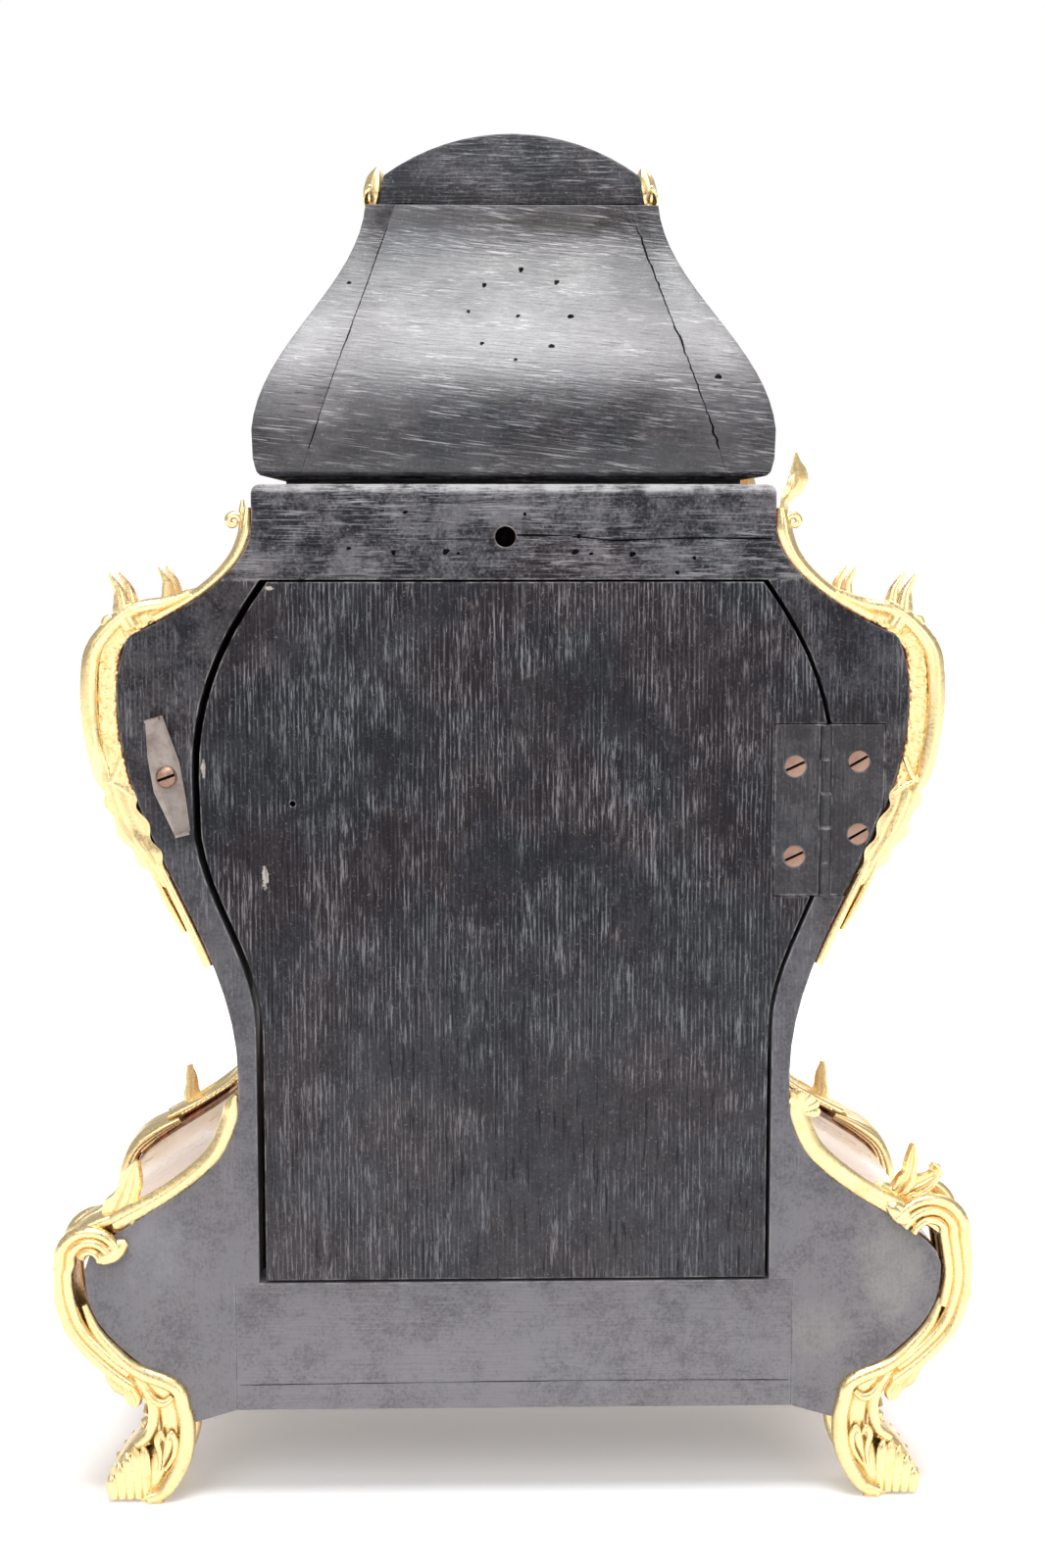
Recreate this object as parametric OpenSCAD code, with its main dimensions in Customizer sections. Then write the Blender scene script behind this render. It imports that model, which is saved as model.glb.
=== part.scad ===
// Waisted mantel clock on four cast feet, drawn in millimetres.
// Z is up, the dial faces -Y and the back door faces +Y. The table is at z = 0.
// A name that ends in _rise is the height of one stretch of the case's outline.

/* [Case outline] */
// Height of the whole clock above the table, where the roof takes up a change
clock_h = 475.7; // [465:0.1:490]
// Height of the case bottom above the table
foot_h = 33.3; // [30:0.1:40]
// How far the points of the stiles reach below the case bottom
toe_drop = 4.3; // [2:0.1:6]
// From the case bottom up to the widest place of the console
hip_rise = 51; // [46:1:57]
// From the widest place of the console up to the waist
waist_rise = 68; // [60:1:76]
// From the waist up to the widest place of the shoulder
shoulder_rise = 130; // [122:1:144]
// From the widest place of the shoulder up to the corner
corner_rise = 21; // [19:1:24]
// From the corner up the hollow curve to the neck
neck_rise = 38; // [34:1:42]
// From there up the straight neck to the case's top
top_rise = 13; // [11:0.5:16]
// Width across the points of the stiles
toe_w = 224; // [216:1:232]
// Width of the console
hip_w = 298; // [290:1:306]
// Width of the waist
waist_w = 190; // [184:1:196]
// Width of the shoulder
shoulder_w = 268; // [262:1:274]
// How far the corner stays inside the widest place of the shoulder
corner_in = 4; // [2:0.5:8]
// Width of the neck
neck_w = 176; // [170:1:182]

/* [Case boards] */
// Depth of the case from the front frame's face to the back frame's face
case_d = 142; // [138:1:156]
// Thickness of the back frame
back_t = 16; // [15:0.5:18]
// Thickness of the front frame
front_t = 12; // [11:0.5:14]
// Thickness of the shaped sides
wall_t = 8; // [6:0.5:9]
// Thickness of the top board and the base board
board_t = 8; // [6:0.5:10]
// How far the apron bulges in front of the front frame
apron_bulge = 10; // [6:0.5:14]
// Height of the waist above the joint between the apron and the front frame
apron_below = 35; // [32:0.5:38]
// Height of the back top rail's lower edge above the corner
rail_above = 19.2; // [17:0.1:22]
// Height of the back bottom rail
low_rail_h = 45.7; // [42:0.1:48]
// How far the ends of the back bottom rail stay inside the points of the stiles
low_rail_in = 15; // [12:0.5:20]
// Diameter of the hole in the back top rail
rail_hole_d = 7; // [5:0.1:9]
// Place of that hole to the side of the middle
rail_hole_x = 3; // [-10:0.5:10]
// Height of that hole above the rail's lower edge
rail_hole_up = 14.3; // [10:0.1:20]

/* [Back door] */
// Width that is left of each stile at the waist
stile_low_w = 7.8; // [6:0.1:10]
// Width that is left of each stile at the shoulder
stile_w = 26.3; // [24:0.1:30]
// How far the door's top edge stays inside the neck on each side
door_top_in = 4; // [1:0.5:8]
// Height above the waist where the door starts to widen
flare_rise = 15.7; // [12:0.1:20]
// Height below the shoulder where the door has its full width
full_below = 39.3; // [34:0.1:44]
// Height below the shoulder where it starts to narrow again
turn_below = 26.3; // [22:0.1:30]
// Thickness of the door board
door_t = 14; // [11:0.5:15]
// Gap around the door
door_gap = 1.5; // [0.8:0.1:2.4]

/* [Butt hinge and turn button] */
// Height of the hinge's lower end below the shoulder
hinge_below = 67.5; // [64:0.5:72]
// Length of the hinge
hinge_l = 58.7; // [50:0.1:66]
// Diameter of the hinge knuckles
knuckle_d = 3.8; // [3.4:0.1:4.6]
// Diameter of the hinge pin
hinge_pin_d = 2; // [1.6:0.1:2.4]
// Width of the leaf on the door
door_leaf_w = 17.5; // [14:0.5:20]
// Width of the leaf on the case
case_leaf_w = 20; // [16:0.5:22]
// Thickness of the leaves
leaf_t = 1.4; // [1:0.1:2]
// Distance of the hinge axis inside the door's widest edge
hinge_inset = 1.7; // [1:0.1:2.5]
// Diameter of the wood screws' heads
screw_head_d = 7.2; // [6:0.1:8]
// Diameter of the wood screws' shanks
screw_d = 3.4; // [2.8:0.1:4]
// Height of the turn button's pivot below the shoulder
button_below = 26.1; // [20:0.1:32]
// Distance of the pivot outside the door's widest edge
button_out = 9.7; // [9:0.1:11]
// Length of the turn button
button_l = 41; // [36:0.5:44]
// Width of the turn button
button_w = 11; // [9:0.5:13]
// Angle at which the button stands clear of the door
button_free = 76; // [70:1:90]

/* [Roof] */
// How far the roof's widest place stays inside the neck on each side
roof_in = 0.4; // [0:0.1:3]
// How much narrower the roof is at its top on each side
roof_slope = 36.9; // [34:0.1:40]
// How far the roof's foot stays inside the case at the front and at the back
roof_back = 1; // [0:0.5:4]
// Height of the roof's upright edge
roof_edge_h = 15.6; // [12:0.2:20]
// Height of the neck piece between the case and the roof
gap_h = 2.6; // [2:0.1:4]
// How far the neck piece stays inside the neck on each side
gap_in = 11; // [8:0.5:15]
// How far the crest stays inside the roof's top on each side
crest_in = 4.2; // [3:0.1:6]
// Height of the crest
crest_h = 24.8; // [21:0.1:28]
// Height of the crest's upright ends
crest_end_h = 10.5; // [8:0.5:12]
// Depth of the crest
crest_d = 58; // [46:1:60]

/* [Front door] */
// How much narrower than the back door it is on each side
front_less = 9; // [7:0.5:11]
// Height of its lower edge above the apron
front_low_rise = 5; // [3:0.5:8]
// Height of its top edge below the back top rail
front_top_below = 1.2; // [0:0.1:5]
// Width of its brass frame
bezel_w = 7; // [5:0.5:9]
// Thickness of its brass frame
bezel_t = 7; // [6:0.5:8]
// Thickness of its glass
glass_t = 2; // [1.5:0.1:2.5]

/* [Dial and hands] */
// Height of the dial's centre below the shoulder
dial_below = 37.3; // [35:0.1:41]
// Diameter of the dial
dial_d = 132; // [126:1:136]
// Thickness of the dial plate
dial_t = 2; // [1.5:0.1:2.5]
// Depth of the dial plate behind the front frame's face
dial_back = 22; // [21:0.5:24]
// Diameter of one of the twelve enamel plaques
plaque_d = 19; // [16:0.5:21]
// Length of the minute hand from the centre
minute_l = 52; // [46:1:56]
// Length of the hour hand from the centre
hour_l = 36; // [30:1:38]

/* [Movement] */
// Diameter of the movement plates
plate_d = 104; // [102:1:108]
// Thickness of the movement plates
plate_t = 2.5; // [2:0.1:3]
// Distance between the plates
plate_gap = 38; // [37:0.5:40]
// Space between the dial plate and the front plate
under_dial = 12; // [11.5:0.1:13]
// Tooth module of the barrels and the centre pinion
barrel_m = 0.5; // [0.48:0.01:0.52]
// Tooth module of the centre wheel and the third pinion
centre_m = 0.4; // [0.39:0.01:0.41]
// Tooth module of the third wheel and the escape pinion
third_m = 0.34; // [0.33:0.01:0.35]
// Teeth of each barrel
barrel_teeth = 96; // [96]
// Teeth of the centre wheel and of the third wheel
wheel_teeth = 84; // [84]
// Teeth of the escape wheel
escape_teeth = 33; // [33]
// Diameter of the escape wheel
escape_d = 20; // [19:0.5:21]
// Length of the pendulum from its suspension to the bob's middle
pendulum_l = 143; // [138:1:146]
// Diameter of the bob
bob_d = 44; // [36:1:48]
// Diameter of the bell
bell_d = 80; // [74:1:84]
// Running clearance around pivots and arbors
pivot_gap = 0.05; // [0.03:0.01:0.08]

/* [Gilt mounts] */
// Clearance between a mount and the wood
mount_gap = 0.3; // [0.2:0.05:0.5]
// Depth of a corner mount along the side of the case
mount_d = 24; // [20:1:28]
// Thickness of the upper mount at the shoulder
mount_t = 11.5; // [9:0.5:13]
// Thickness of the lower mount at the console
scroll_t = 11; // [9:0.5:13]
// Greatest thickness of the moulding over the console
rim_t = 4.6; // [4:0.2:6]
// Distance of the toe's tip from the middle of the case
toe_tip_x = 143.6; // [138:0.2:148]

/* [Hidden] */
$fn = 48;

WOOD = "#2b2723";
OAK = "#3a322b";
GILT = "#d9a441";
BRASS = "#c39a4a";
STEEL = "#6b675f";

// Heights above the table
toe_z = foot_h - toe_drop;
hip_z = foot_h + hip_rise;
waist_z = hip_z + waist_rise;
shoulder_z = waist_z + shoulder_rise;
corner_z = shoulder_z + corner_rise;
neck_z = corner_z + neck_rise;
top_z = neck_z + top_rise;
rail_z = corner_z + rail_above;
low_rail_z = foot_h + low_rail_h;
apron_z = waist_z - apron_below;
apron_tall = apron_z - foot_h;
dial_z = shoulder_z - dial_below;
roof_z = top_z + gap_h;
crest_z = clock_h - crest_h;
roof_h = crest_z - roof_z;

// Depths: the turn button's lips and the shell on the apron reach furthest, with the origin midway
button_lift = 0.8;
button_lip = 4;
shell_lift = 3.1;
shell_r = 2.5;
back_proud = button_lift + button_lip;
front_proud = apron_bulge + shell_lift + shell_r;
back_y = (case_d + front_proud - back_proud) / 2;
front_y = back_y - case_d;
middle_y = (back_y + front_y) / 2;

// A smooth step from 0 to 1, bent towards its end by the power p
function ease(t, p = 1) = (1 - cos(180 * pow(t, p))) / 2;

// Points of a curve between two heights, where the half width goes from a to b
function run(z0, z1, a, b, n, p = 1) =
    [for (i = [0:n - 1]) [a + (b - a) * ease(i / n, p), z0 + (z1 - z0) * i / n]];
// The same, but with the bend at the other end
function back_run(z0, z1, a, b, n, p = 1) =
    [for (i = [0:n - 1]) [b + (a - b) * ease(1 - i / n, p), z0 + (z1 - z0) * i / n]];
// Mirrors a half outline into a closed one
function both(h) = concat(h, [for (i = [len(h) - 1:-1:0]) [-h[i][0], h[i][1]]]);
// Puts a half outline on one side of the middle
function on_side(h, side) = [for (q = h) [side * q[0], q[1]]];
// Direction that points outwards from the point i of a half outline
function outward(p, i) =
    let (a = p[max(i - 1, 0)], b = p[min(i + 1, len(p) - 1)], t = (b - a) / norm(b - a)) [t[1], -t[0]];
// Half width of a half outline at the height z
function width_at(p, z) = lookup(z, [for (q = p) [q[1], q[0]]]);
// Part of a half outline between two heights
function cut(p, z0, z1) = concat([[width_at(p, z0), z0]],
    [for (q = p) if (q[1] > z0 + 0.05 && q[1] < z1 - 0.05) q], [[width_at(p, z1), z1]]);
// The same points in the opposite order
function turned(p) = [for (i = [len(p) - 1:-1:0]) p[i]];
// Moves a half outline outwards by d
function grown(p, d) = [for (i = [0:len(p) - 1]) p[i] + d * outward(p, i)];

// Widths that follow from the outline
corner_w = shoulder_w - 2 * corner_in;
low_rail_w = toe_w - 2 * low_rail_in;
door_low_w = waist_w - 2 * stile_low_w;
door_w = shoulder_w - 2 * stile_w;
door_top_w = neck_w - 2 * door_top_in;
gap_w = neck_w - 2 * gap_in;
roof_w = neck_w - 2 * roof_in;
roof_top_w = roof_w - 2 * roof_slope;
roof_d = case_d - 2 * roof_back;
crest_w = roof_top_w - 2 * crest_in;

// Half outline of the case, from the points of the stiles up to the neck
console_half = concat(
    back_run(toe_z, hip_z, toe_w / 2, hip_w / 2, 12, 1.4),
    back_run(hip_z, waist_z, hip_w / 2, waist_w / 2, 16, 1.7));
shoulder_half = concat(
    run(waist_z, shoulder_z, waist_w / 2, shoulder_w / 2, 14),
    [for (i = [0:4]) [shoulder_w / 2 - (shoulder_w - corner_w) / 2 * pow(i / 5, 2),
        shoulder_z + (corner_z - shoulder_z) * i / 5]]);
neck_half = [for (i = [0:8]) let (t = 1 - i / 8)
    [neck_w / 2 + (corner_w - neck_w) / 2 * t * t, neck_z + (corner_z - neck_z) * t]];
edge_r = 3;
edge_half = [for (a = [0:30:90]) [neck_w / 2 - edge_r + edge_r * cos(a), top_z - edge_r + edge_r * sin(a)]];
body_half = concat(console_half, shoulder_half, neck_half, edge_half);
hollow_half = concat(grown(concat(console_half, shoulder_half, neck_half), -wall_t),
    [[neck_w / 2 - wall_t, top_z]]);

// Half outline of the back door and of the front door
door_low_z = low_rail_z + 1.1;
door_top_z = rail_z - 0.8;
door_turn_z = shoulder_z - turn_below;
function door_half(less, low_z, high_z) = concat(
    [[door_low_w / 2 - less, low_z]],
    run(waist_z + flare_rise, shoulder_z - full_below, door_low_w / 2 - less, door_w / 2 - less, 10),
    [for (i = [0:8]) let (t = i / 8) [door_w / 2 - less - (door_w - door_top_w) / 2 * pow(t, 2.1),
        door_turn_z + (high_z - door_turn_z) * t]]);
back_door_half = door_half(0, door_low_z, door_top_z);
front_low_z = apron_z + front_low_rise;
front_top_z = rail_z - front_top_below;
front_door_half = door_half(front_less, front_low_z, front_top_z);

// Extrudes a drawing in X and Z from the depth y0 to the depth y1
module along_y(y0, y1) {
    translate([0, y1, 0])
        rotate([90, 0, 0])
            linear_extrude(y1 - y0)
                children();
}

// A box between two corners
module block(p, q) {
    translate(p)
        cube(q - p);
}

// A round bar along Y
module bar_y(x, z, y0, y1, d) {
    translate([x, y1, z])
        rotate([90, 0, 0])
            cylinder(h = y1 - y0, d = d);
}

// Board that fills the hollow between the shaped sides from one height to another
module inner_board(y0, y1, z0, z1) {
    along_y(y0, y1)
        polygon(both(cut(hollow_half, z0, z1)));
}

// Places of the butt hinge and the turn button
hinge_x = -(door_w / 2 - hinge_inset);
hinge_y = back_y + 0.8;
hinge_z = shoulder_z - hinge_below;
knuckle_l = hinge_l / 5;
leaf_y = back_y + 0.2;
button_x = door_w / 2 + button_out;
button_z = shoulder_z - button_below;
screw_l = 12;
door_screws = [for (u = [0.23, 0.757]) [hinge_x + door_leaf_w * 0.6, hinge_z + hinge_l * u]];
case_screws = [for (u = [0.36, 0.785]) [hinge_x - case_leaf_w * 0.56, hinge_z + hinge_l * u]];

// Inner edge of a stile, from the bottom rail up to the top rail
stile_inner = concat([[low_rail_w / 2, foot_h], [low_rail_w / 2, low_rail_z],
    [door_low_w / 2 + door_gap, low_rail_z]],
    [for (q = grown(back_door_half, door_gap)) if (q[1] > low_rail_z + 2 && q[1] < rail_z - 2) q],
    [[door_top_w / 2 + door_gap, rail_z]]);

// Recess for a hinge leaf and the trough for the knuckles
module hinge_recess() {
    block([hinge_x - case_leaf_w - 0.2, leaf_y - leaf_t - 0.1, hinge_z - 0.3],
        [hinge_x + door_leaf_w + 0.2, back_y + 5, hinge_z + hinge_l + 0.3]);
    trough = knuckle_d / 2 + 0.4;
    block([hinge_x - trough, back_y - trough, hinge_z - 0.3],
        [hinge_x + trough, back_y + 5, hinge_z + hinge_l + 0.3]);
}

// Hole for a wood screw that goes in from the back
module screw_hole(x, z, l = screw_l) {
    bar_y(x, z, back_y - l - 0.5, back_y + 1, screw_d + 0.1);
}

module stile(side) {
    color(WOOD)
        difference() {
            along_y(back_y - back_t, back_y)
                polygon(on_side(concat(cut(body_half, toe_z, rail_z), turned(stile_inner)), side));
            if (side < 0) {
                hinge_recess();
                for (q = case_screws)
                    screw_hole(q[0], q[1]);
            }
            if (side > 0)
                screw_hole(button_x, button_z);
        }
}

module stile_left() { stile(-1); }
module stile_right() { stile(1); }

module back_top_rail() {
    color(WOOD)
        difference() {
            along_y(back_y - back_t, back_y)
                polygon(both(cut(body_half, rail_z, top_z)));
            bar_y(rail_hole_x, rail_z + rail_hole_up, back_y - back_t - 1, back_y + 1, rail_hole_d);
        }
}

module back_bottom_rail() {
    color(WOOD)
        block([-low_rail_w / 2, back_y - back_t, foot_h], [low_rail_w / 2, back_y, low_rail_z]);
}

module case_side(side) {
    color(WOOD)
        along_y(front_y + front_t, back_y - back_t)
            polygon(on_side(concat(cut(body_half, foot_h + board_t, top_z),
                turned(cut(hollow_half, foot_h + board_t, top_z))), side));
}

module side_left() { case_side(-1); }
module side_right() { case_side(1); }

// Outline of the front door grown by d, down to a given height below its edge
module front_door_shape(d, y0, y1) {
    along_y(y0, y1)
        polygon(both(concat([[door_low_w / 2 - front_less + d, front_low_z - d]],
            [for (i = [1:len(front_door_half) - 2]) front_door_half[i] + [d, 0]],
            [[door_top_w / 2 - front_less + d, front_top_z + d]])));
}

front_gap = 0.6;
rebate = 4;
front_hinge_x = door_w / 2 - front_less - 1.5;
front_hinge_y = front_y - 2.4;
front_hinge_l = 36;
front_hinge_z = dial_z + 2.3 - front_hinge_l / 2;

// Trough in the wood for the front hinge
module front_trough() {
    block([front_hinge_x - 2.6, front_y - 8, front_hinge_z - 0.4],
        [front_hinge_x + 2.6, front_y + 0.6, front_hinge_z + front_hinge_l + 0.4]);
    block([front_hinge_x, front_y - 8, front_hinge_z - 0.4],
        [front_hinge_x + 12.3, front_y + 0.6, front_hinge_z + front_hinge_l + 0.4]);
}

module front_frame() {
    color(WOOD)
        difference() {
            along_y(front_y, front_y + front_t)
                polygon(both(cut(body_half, apron_z, top_z)));
            front_door_shape(front_gap, front_y - 1, front_y + bezel_t);
            front_door_shape(-rebate, front_y - 1, front_y + front_t + 1);
            front_trough();
        }
}

// Side view of the apron: its face bulges forwards over the hip and turns in at the foot
apron_profile = concat([[front_y + front_t, foot_h], [front_y, foot_h]],
    [for (i = [1:13]) let (t = i / 14)
        [front_y - apron_bulge * pow(sin(180 * pow(t, 0.8)), 1.2), foot_h + apron_tall * t]],
    [[front_y, apron_z], [front_y + front_t, apron_z]]);

module apron() {
    color(WOOD)
        intersection() {
            along_y(front_y - apron_bulge - 1, front_y + front_t)
                polygon(both(cut(body_half, foot_h, apron_z)));
            translate([-hip_w / 2, 0, 0])
                rotate([90, 0, 90])
                    linear_extrude(hip_w)
                        polygon(apron_profile);
        }
}

module base_board() {
    color(OAK)
        along_y(front_y + front_t, back_y - back_t)
            polygon(both(cut(body_half, foot_h, foot_h + board_t)));
}

module top_board() {
    color(OAK)
        inner_board(front_y + front_t, back_y - back_t, top_z - board_t, top_z);
}

dial_board_t = 8;
dial_board_low = waist_z + 14;
dial_board_y = front_y + dial_back;

// Board that carries the dial, with a round hole for the movement
module dial_board() {
    color(OAK)
        difference() {
            inner_board(dial_board_y, dial_board_y + dial_board_t, dial_board_low, rail_z);
            bar_y(0, dial_z, front_y, back_y, plate_d + 8);
        }
}

module roof_neck() {
    color("#171412")
        block([-gap_w / 2, middle_y - roof_d / 2 + 10, top_z],
            [gap_w / 2, middle_y + roof_d / 2 - 10, roof_z]);
}

// Half outline of the roof for a given greatest half width: a rounded foot, an upright edge and
// a curve that still leans inwards a little at its top
function roof_half(a) = concat(
    [for (t = [0:30:90]) [a - 4 + 3 * sin(t), roof_z + 3 - 3 * cos(t)]],
    [[a - 0.3, roof_z + 6]],
    [for (i = [0:16]) [a - roof_slope * (0.8 * ease(i / 16) + 0.2 * i / 16),
        roof_z + roof_edge_h + (roof_h - roof_edge_h) * i / 16]]);

module roof() {
    color(WOOD)
        intersection() {
            along_y(middle_y - case_d / 2, middle_y + case_d / 2)
                polygon(both(roof_half(roof_w / 2)));
            translate([-neck_w / 2, middle_y, 0])
                rotate([90, 0, 90])
                    linear_extrude(neck_w)
                        polygon(both(roof_half(roof_d / 2)));
        }
}

// Radius of the crest's arch, from its width and its rise
crest_rise = crest_h - crest_end_h;
crest_r = (pow(crest_w / 2 - 2, 2) + pow(crest_rise, 2)) / (2 * crest_rise);
crest_half_angle = asin((crest_w / 2 - 2) / crest_r);

module crest() {
    color(WOOD)
        along_y(middle_y - crest_d / 2, middle_y + crest_d / 2)
            polygon(concat([[-crest_w / 2, crest_z], [crest_w / 2, crest_z]],
                [for (i = [-1:0.125:1]) let (a = -crest_half_angle * i)
                    [crest_r * sin(a), crest_z + crest_h - crest_r + crest_r * cos(a)]]));
}

knob_hole_x = door_w / 2 - 31.5;
knob_hole_z = shoulder_z - 35.5;

module back_door() {
    color(WOOD)
        difference() {
            along_y(back_y - door_t, back_y)
                polygon(both(back_door_half));
            hinge_recess();
            for (q = door_screws)
                screw_hole(q[0], q[1], 10);
            bar_y(knob_hole_x, knob_hole_z, back_y - 8, back_y + 1, 2);
        }
}

// Knuckles of the butt hinge, the odd ones on the case and the even ones on the door
module knuckles(first) {
    for (i = [first:2:4])
        translate([hinge_x, hinge_y, hinge_z + knuckle_l * i + 0.1])
            cylinder(h = knuckle_l - 0.2, d = knuckle_d);
}

// A countersunk seat for one of the hinge screws
module countersink(x, z, more) {
    translate([x, leaf_y + 0.01, z])
        rotate([90, 0, 0])
            cylinder(h = leaf_t + 0.02, d1 = screw_head_d + more, d2 = screw_d + 1.4 + more);
}

// Leaf with its knuckles: the outer edge is a list of points from its lower to its upper end
module leaf(side, edge, first, screws) {
    near = hinge_x + side * 1.2;
    color(STEEL)
        difference() {
            union() {
                along_y(leaf_y - leaf_t, leaf_y)
                    polygon(concat([[near, hinge_z]], edge, [[near, hinge_z + hinge_l]]));
                knuckles(first);
            }
            for (i = [1 - first:2:4])
                translate([hinge_x, hinge_y, hinge_z + knuckle_l * i - 0.1])
                    cylinder(h = knuckle_l + 0.2, d = knuckle_d + 0.5);
            translate([hinge_x, hinge_y, hinge_z - 1])
                cylinder(h = hinge_l + 2, d = hinge_pin_d + 2 * pivot_gap);
            for (q = screws)
                countersink(q[0], q[1], 0.2);
        }
}

// The case leaf is trimmed along the side of the case
case_leaf_edge = [for (q = cut(grown(shoulder_half, -1), hinge_z, hinge_z + hinge_l))
    [max(-q[0], hinge_x - case_leaf_w), q[1]]];
door_leaf_edge = [[hinge_x + door_leaf_w, hinge_z], [hinge_x + door_leaf_w, hinge_z + hinge_l]];

module hinge_case_leaf() { leaf(-1, case_leaf_edge, 0, case_screws); }
module hinge_door_leaf() { leaf(1, door_leaf_edge, 1, door_screws); }

module hinge_pin() {
    color(STEEL)
        translate([hinge_x, hinge_y, hinge_z])
            cylinder(h = hinge_l, d = hinge_pin_d);
}

// Countersunk wood screw with a slotted head, driven in from the back
module leaf_screw(x, z, l, turn) {
    color("#b06a3c")
        difference() {
            union() {
                countersink(x, z, 0);
                bar_y(x, z, back_y - l, leaf_y - 0.5, screw_d);
            }
            translate([x, leaf_y, z])
                rotate([0, turn, 0])
                    cube([screw_head_d + 2, 1, 0.9], center = true);
        }
}

module hinge_screws_case() {
    for (q = case_screws)
        leaf_screw(q[0], q[1], screw_l, 30);
}

module hinge_screws_door() {
    for (q = door_screws)
        leaf_screw(q[0], q[1], 10, 25);
}

button_t = 1;
button_y = back_y + button_lift;

// Turn button: a bent plate, broad in the middle, with a small lip folded up at each end
module turn_button() {
    color(STEEL)
        translate([button_x, 0, button_z])
            rotate([0, -button_free, 0])
                difference() {
                    union() {
                        along_y(button_y, button_y + button_t)
                            polygon([[-button_l / 2, -2.4], [-4, -button_w / 2], [8, -button_w / 2 + 1],
                                [button_l / 2, -2], [button_l / 2, 4], [4, button_w / 2],
                                [-8, button_w / 2 - 1], [-button_l / 2, 3]]);
                        for (s = [-1, 1])
                            block([s * (button_l / 2 - 0.5) - 0.5, button_y, -2],
                                [s * (button_l / 2 - 0.5) + 0.5, button_y + button_lip, 3]);
                    }
                    bar_y(0, 0, button_y - 1, button_y + 5, screw_d + 2 * pivot_gap);
                }
}

module turn_button_screw() {
    head_y = button_y + button_t + 0.1;
    color(STEEL)
        difference() {
            union() {
                bar_y(button_x, button_z, back_y - screw_l, head_y + 0.5, screw_d);
                translate([button_x, head_y, button_z])
                    rotate([-90, 0, 0])
                        rotate_extrude()
                            polygon([[0, 0], [screw_head_d / 2, 0], [screw_head_d / 2, 0.6], [3, 1.5],
                                [1.8, 2.1], [0, 2.3]]);
            }
            translate([button_x, head_y + 2.2, button_z])
                rotate([0, 20, 0])
                    cube([screw_head_d + 2, 1.6, 1], center = true);
        }
}

glass_y = front_y + 1.5;

// Cast brass frame of the front door: a flat ring with a raised inner bead
module front_door() {
    color(BRASS)
        difference() {
            union() {
                front_door_shape(0, front_y - 0.6, front_y + bezel_t - 0.4);
                front_door_shape(-2, front_y - 2, front_y + bezel_t - 0.4);
            }
            front_door_shape(-bezel_w, front_y - 3, front_y + bezel_t);
            front_door_shape(-bezel_w + 2.5, glass_y - 0.1, front_y + bezel_t);
            block([front_hinge_x - 2.6, front_y - 8, front_hinge_z - 0.4],
                [front_hinge_x + 4, front_y + 0.6, front_hinge_z + front_hinge_l + 0.4]);
        }
}

module front_glass() {
    color("#dfeaea", 0.4)
        front_door_shape(-bezel_w + 2.2, glass_y, glass_y + glass_t);
}

front_knuckle_l = front_hinge_l / 3;

// One half of the front hinge: the case half has the outer knuckles, the door half the inner one
module front_leaf(side, list) {
    color(BRASS)
        difference() {
            union() {
                for (i = list)
                    translate([front_hinge_x, front_hinge_y, front_hinge_z + front_knuckle_l * i + 0.1])
                        cylinder(h = front_knuckle_l - 0.2, d = 4.4);
                for (i = list)
                    block([side > 0 ? front_hinge_x + 0.8 : front_hinge_x - 2.2, front_hinge_y - 0.4,
                        front_hinge_z + front_knuckle_l * i + 0.1],
                        [side > 0 ? front_hinge_x + 2.2 : front_hinge_x - 0.8, front_y + 0.5,
                        front_hinge_z + front_knuckle_l * (i + 1) - 0.1]);
                if (side > 0)
                    block([front_hinge_x + 3, front_y - 1, front_hinge_z],
                        [front_hinge_x + 12, front_y + 0.5, front_hinge_z + front_hinge_l]);
                if (side > 0)
                    for (i = list)
                        block([front_hinge_x + 0.8, front_y - 1, front_hinge_z + front_knuckle_l * i + 0.1],
                            [front_hinge_x + 4, front_y + 0.5,
                            front_hinge_z + front_knuckle_l * (i + 1) - 0.1]);
            }
            if (side < 0)
                translate([front_hinge_x, front_hinge_y, front_hinge_z - 1])
                    cylinder(h = front_hinge_l + 2, d = 1.8 + 2 * pivot_gap);
        }
    if (side > 0)
        color(BRASS)
            translate([front_hinge_x, front_hinge_y, front_hinge_z + 0.2])
                cylinder(h = front_hinge_l - 0.4, d = 1.8);
}

module front_hinge_case() { front_leaf(1, [0, 2]); }
module front_hinge_door() { front_leaf(-1, [1]); }

// Depths of the dial and the movement
dial_y = dial_board_y - dial_t;
plate_y = dial_board_y + under_dial;
works_y = plate_y + plate_t;
back_plate_y = works_y + plate_gap;
wind_x = 24;
wind_z = -sqrt(pow(barrel_m * (barrel_teeth + 12) / 2, 2) - pow(wind_x, 2));
centre_d = 3;
hour_pipe_d = 6;
wind_arbor_d = 5;
wind_hole_d = 8;

inner_ring_d = dial_d / 2 + 2;

module dial_plate() {
    color(GILT)
        difference() {
            union() {
                bar_y(0, dial_z, dial_y, dial_board_y, dial_d);
                difference() {
                    bar_y(0, dial_z, dial_y - 2, dial_y, dial_d);
                    bar_y(0, dial_z, dial_y - 3, dial_y, dial_d - 7);
                }
                difference() {
                    bar_y(0, dial_z, dial_y - 1.2, dial_y, inner_ring_d);
                    bar_y(0, dial_z, dial_y - 3, dial_y, inner_ring_d - 4);
                }
            }
            bar_y(0, dial_z, dial_y - 3, dial_board_y + 1, hour_pipe_d + 1);
            for (s = [-1, 1])
                bar_y(s * wind_x, dial_z + wind_z, dial_y - 3, dial_board_y + 1, wind_hole_d);
        }
}

plaque_ring = dial_d / 2 - 5 - plaque_d / 2;

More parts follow.
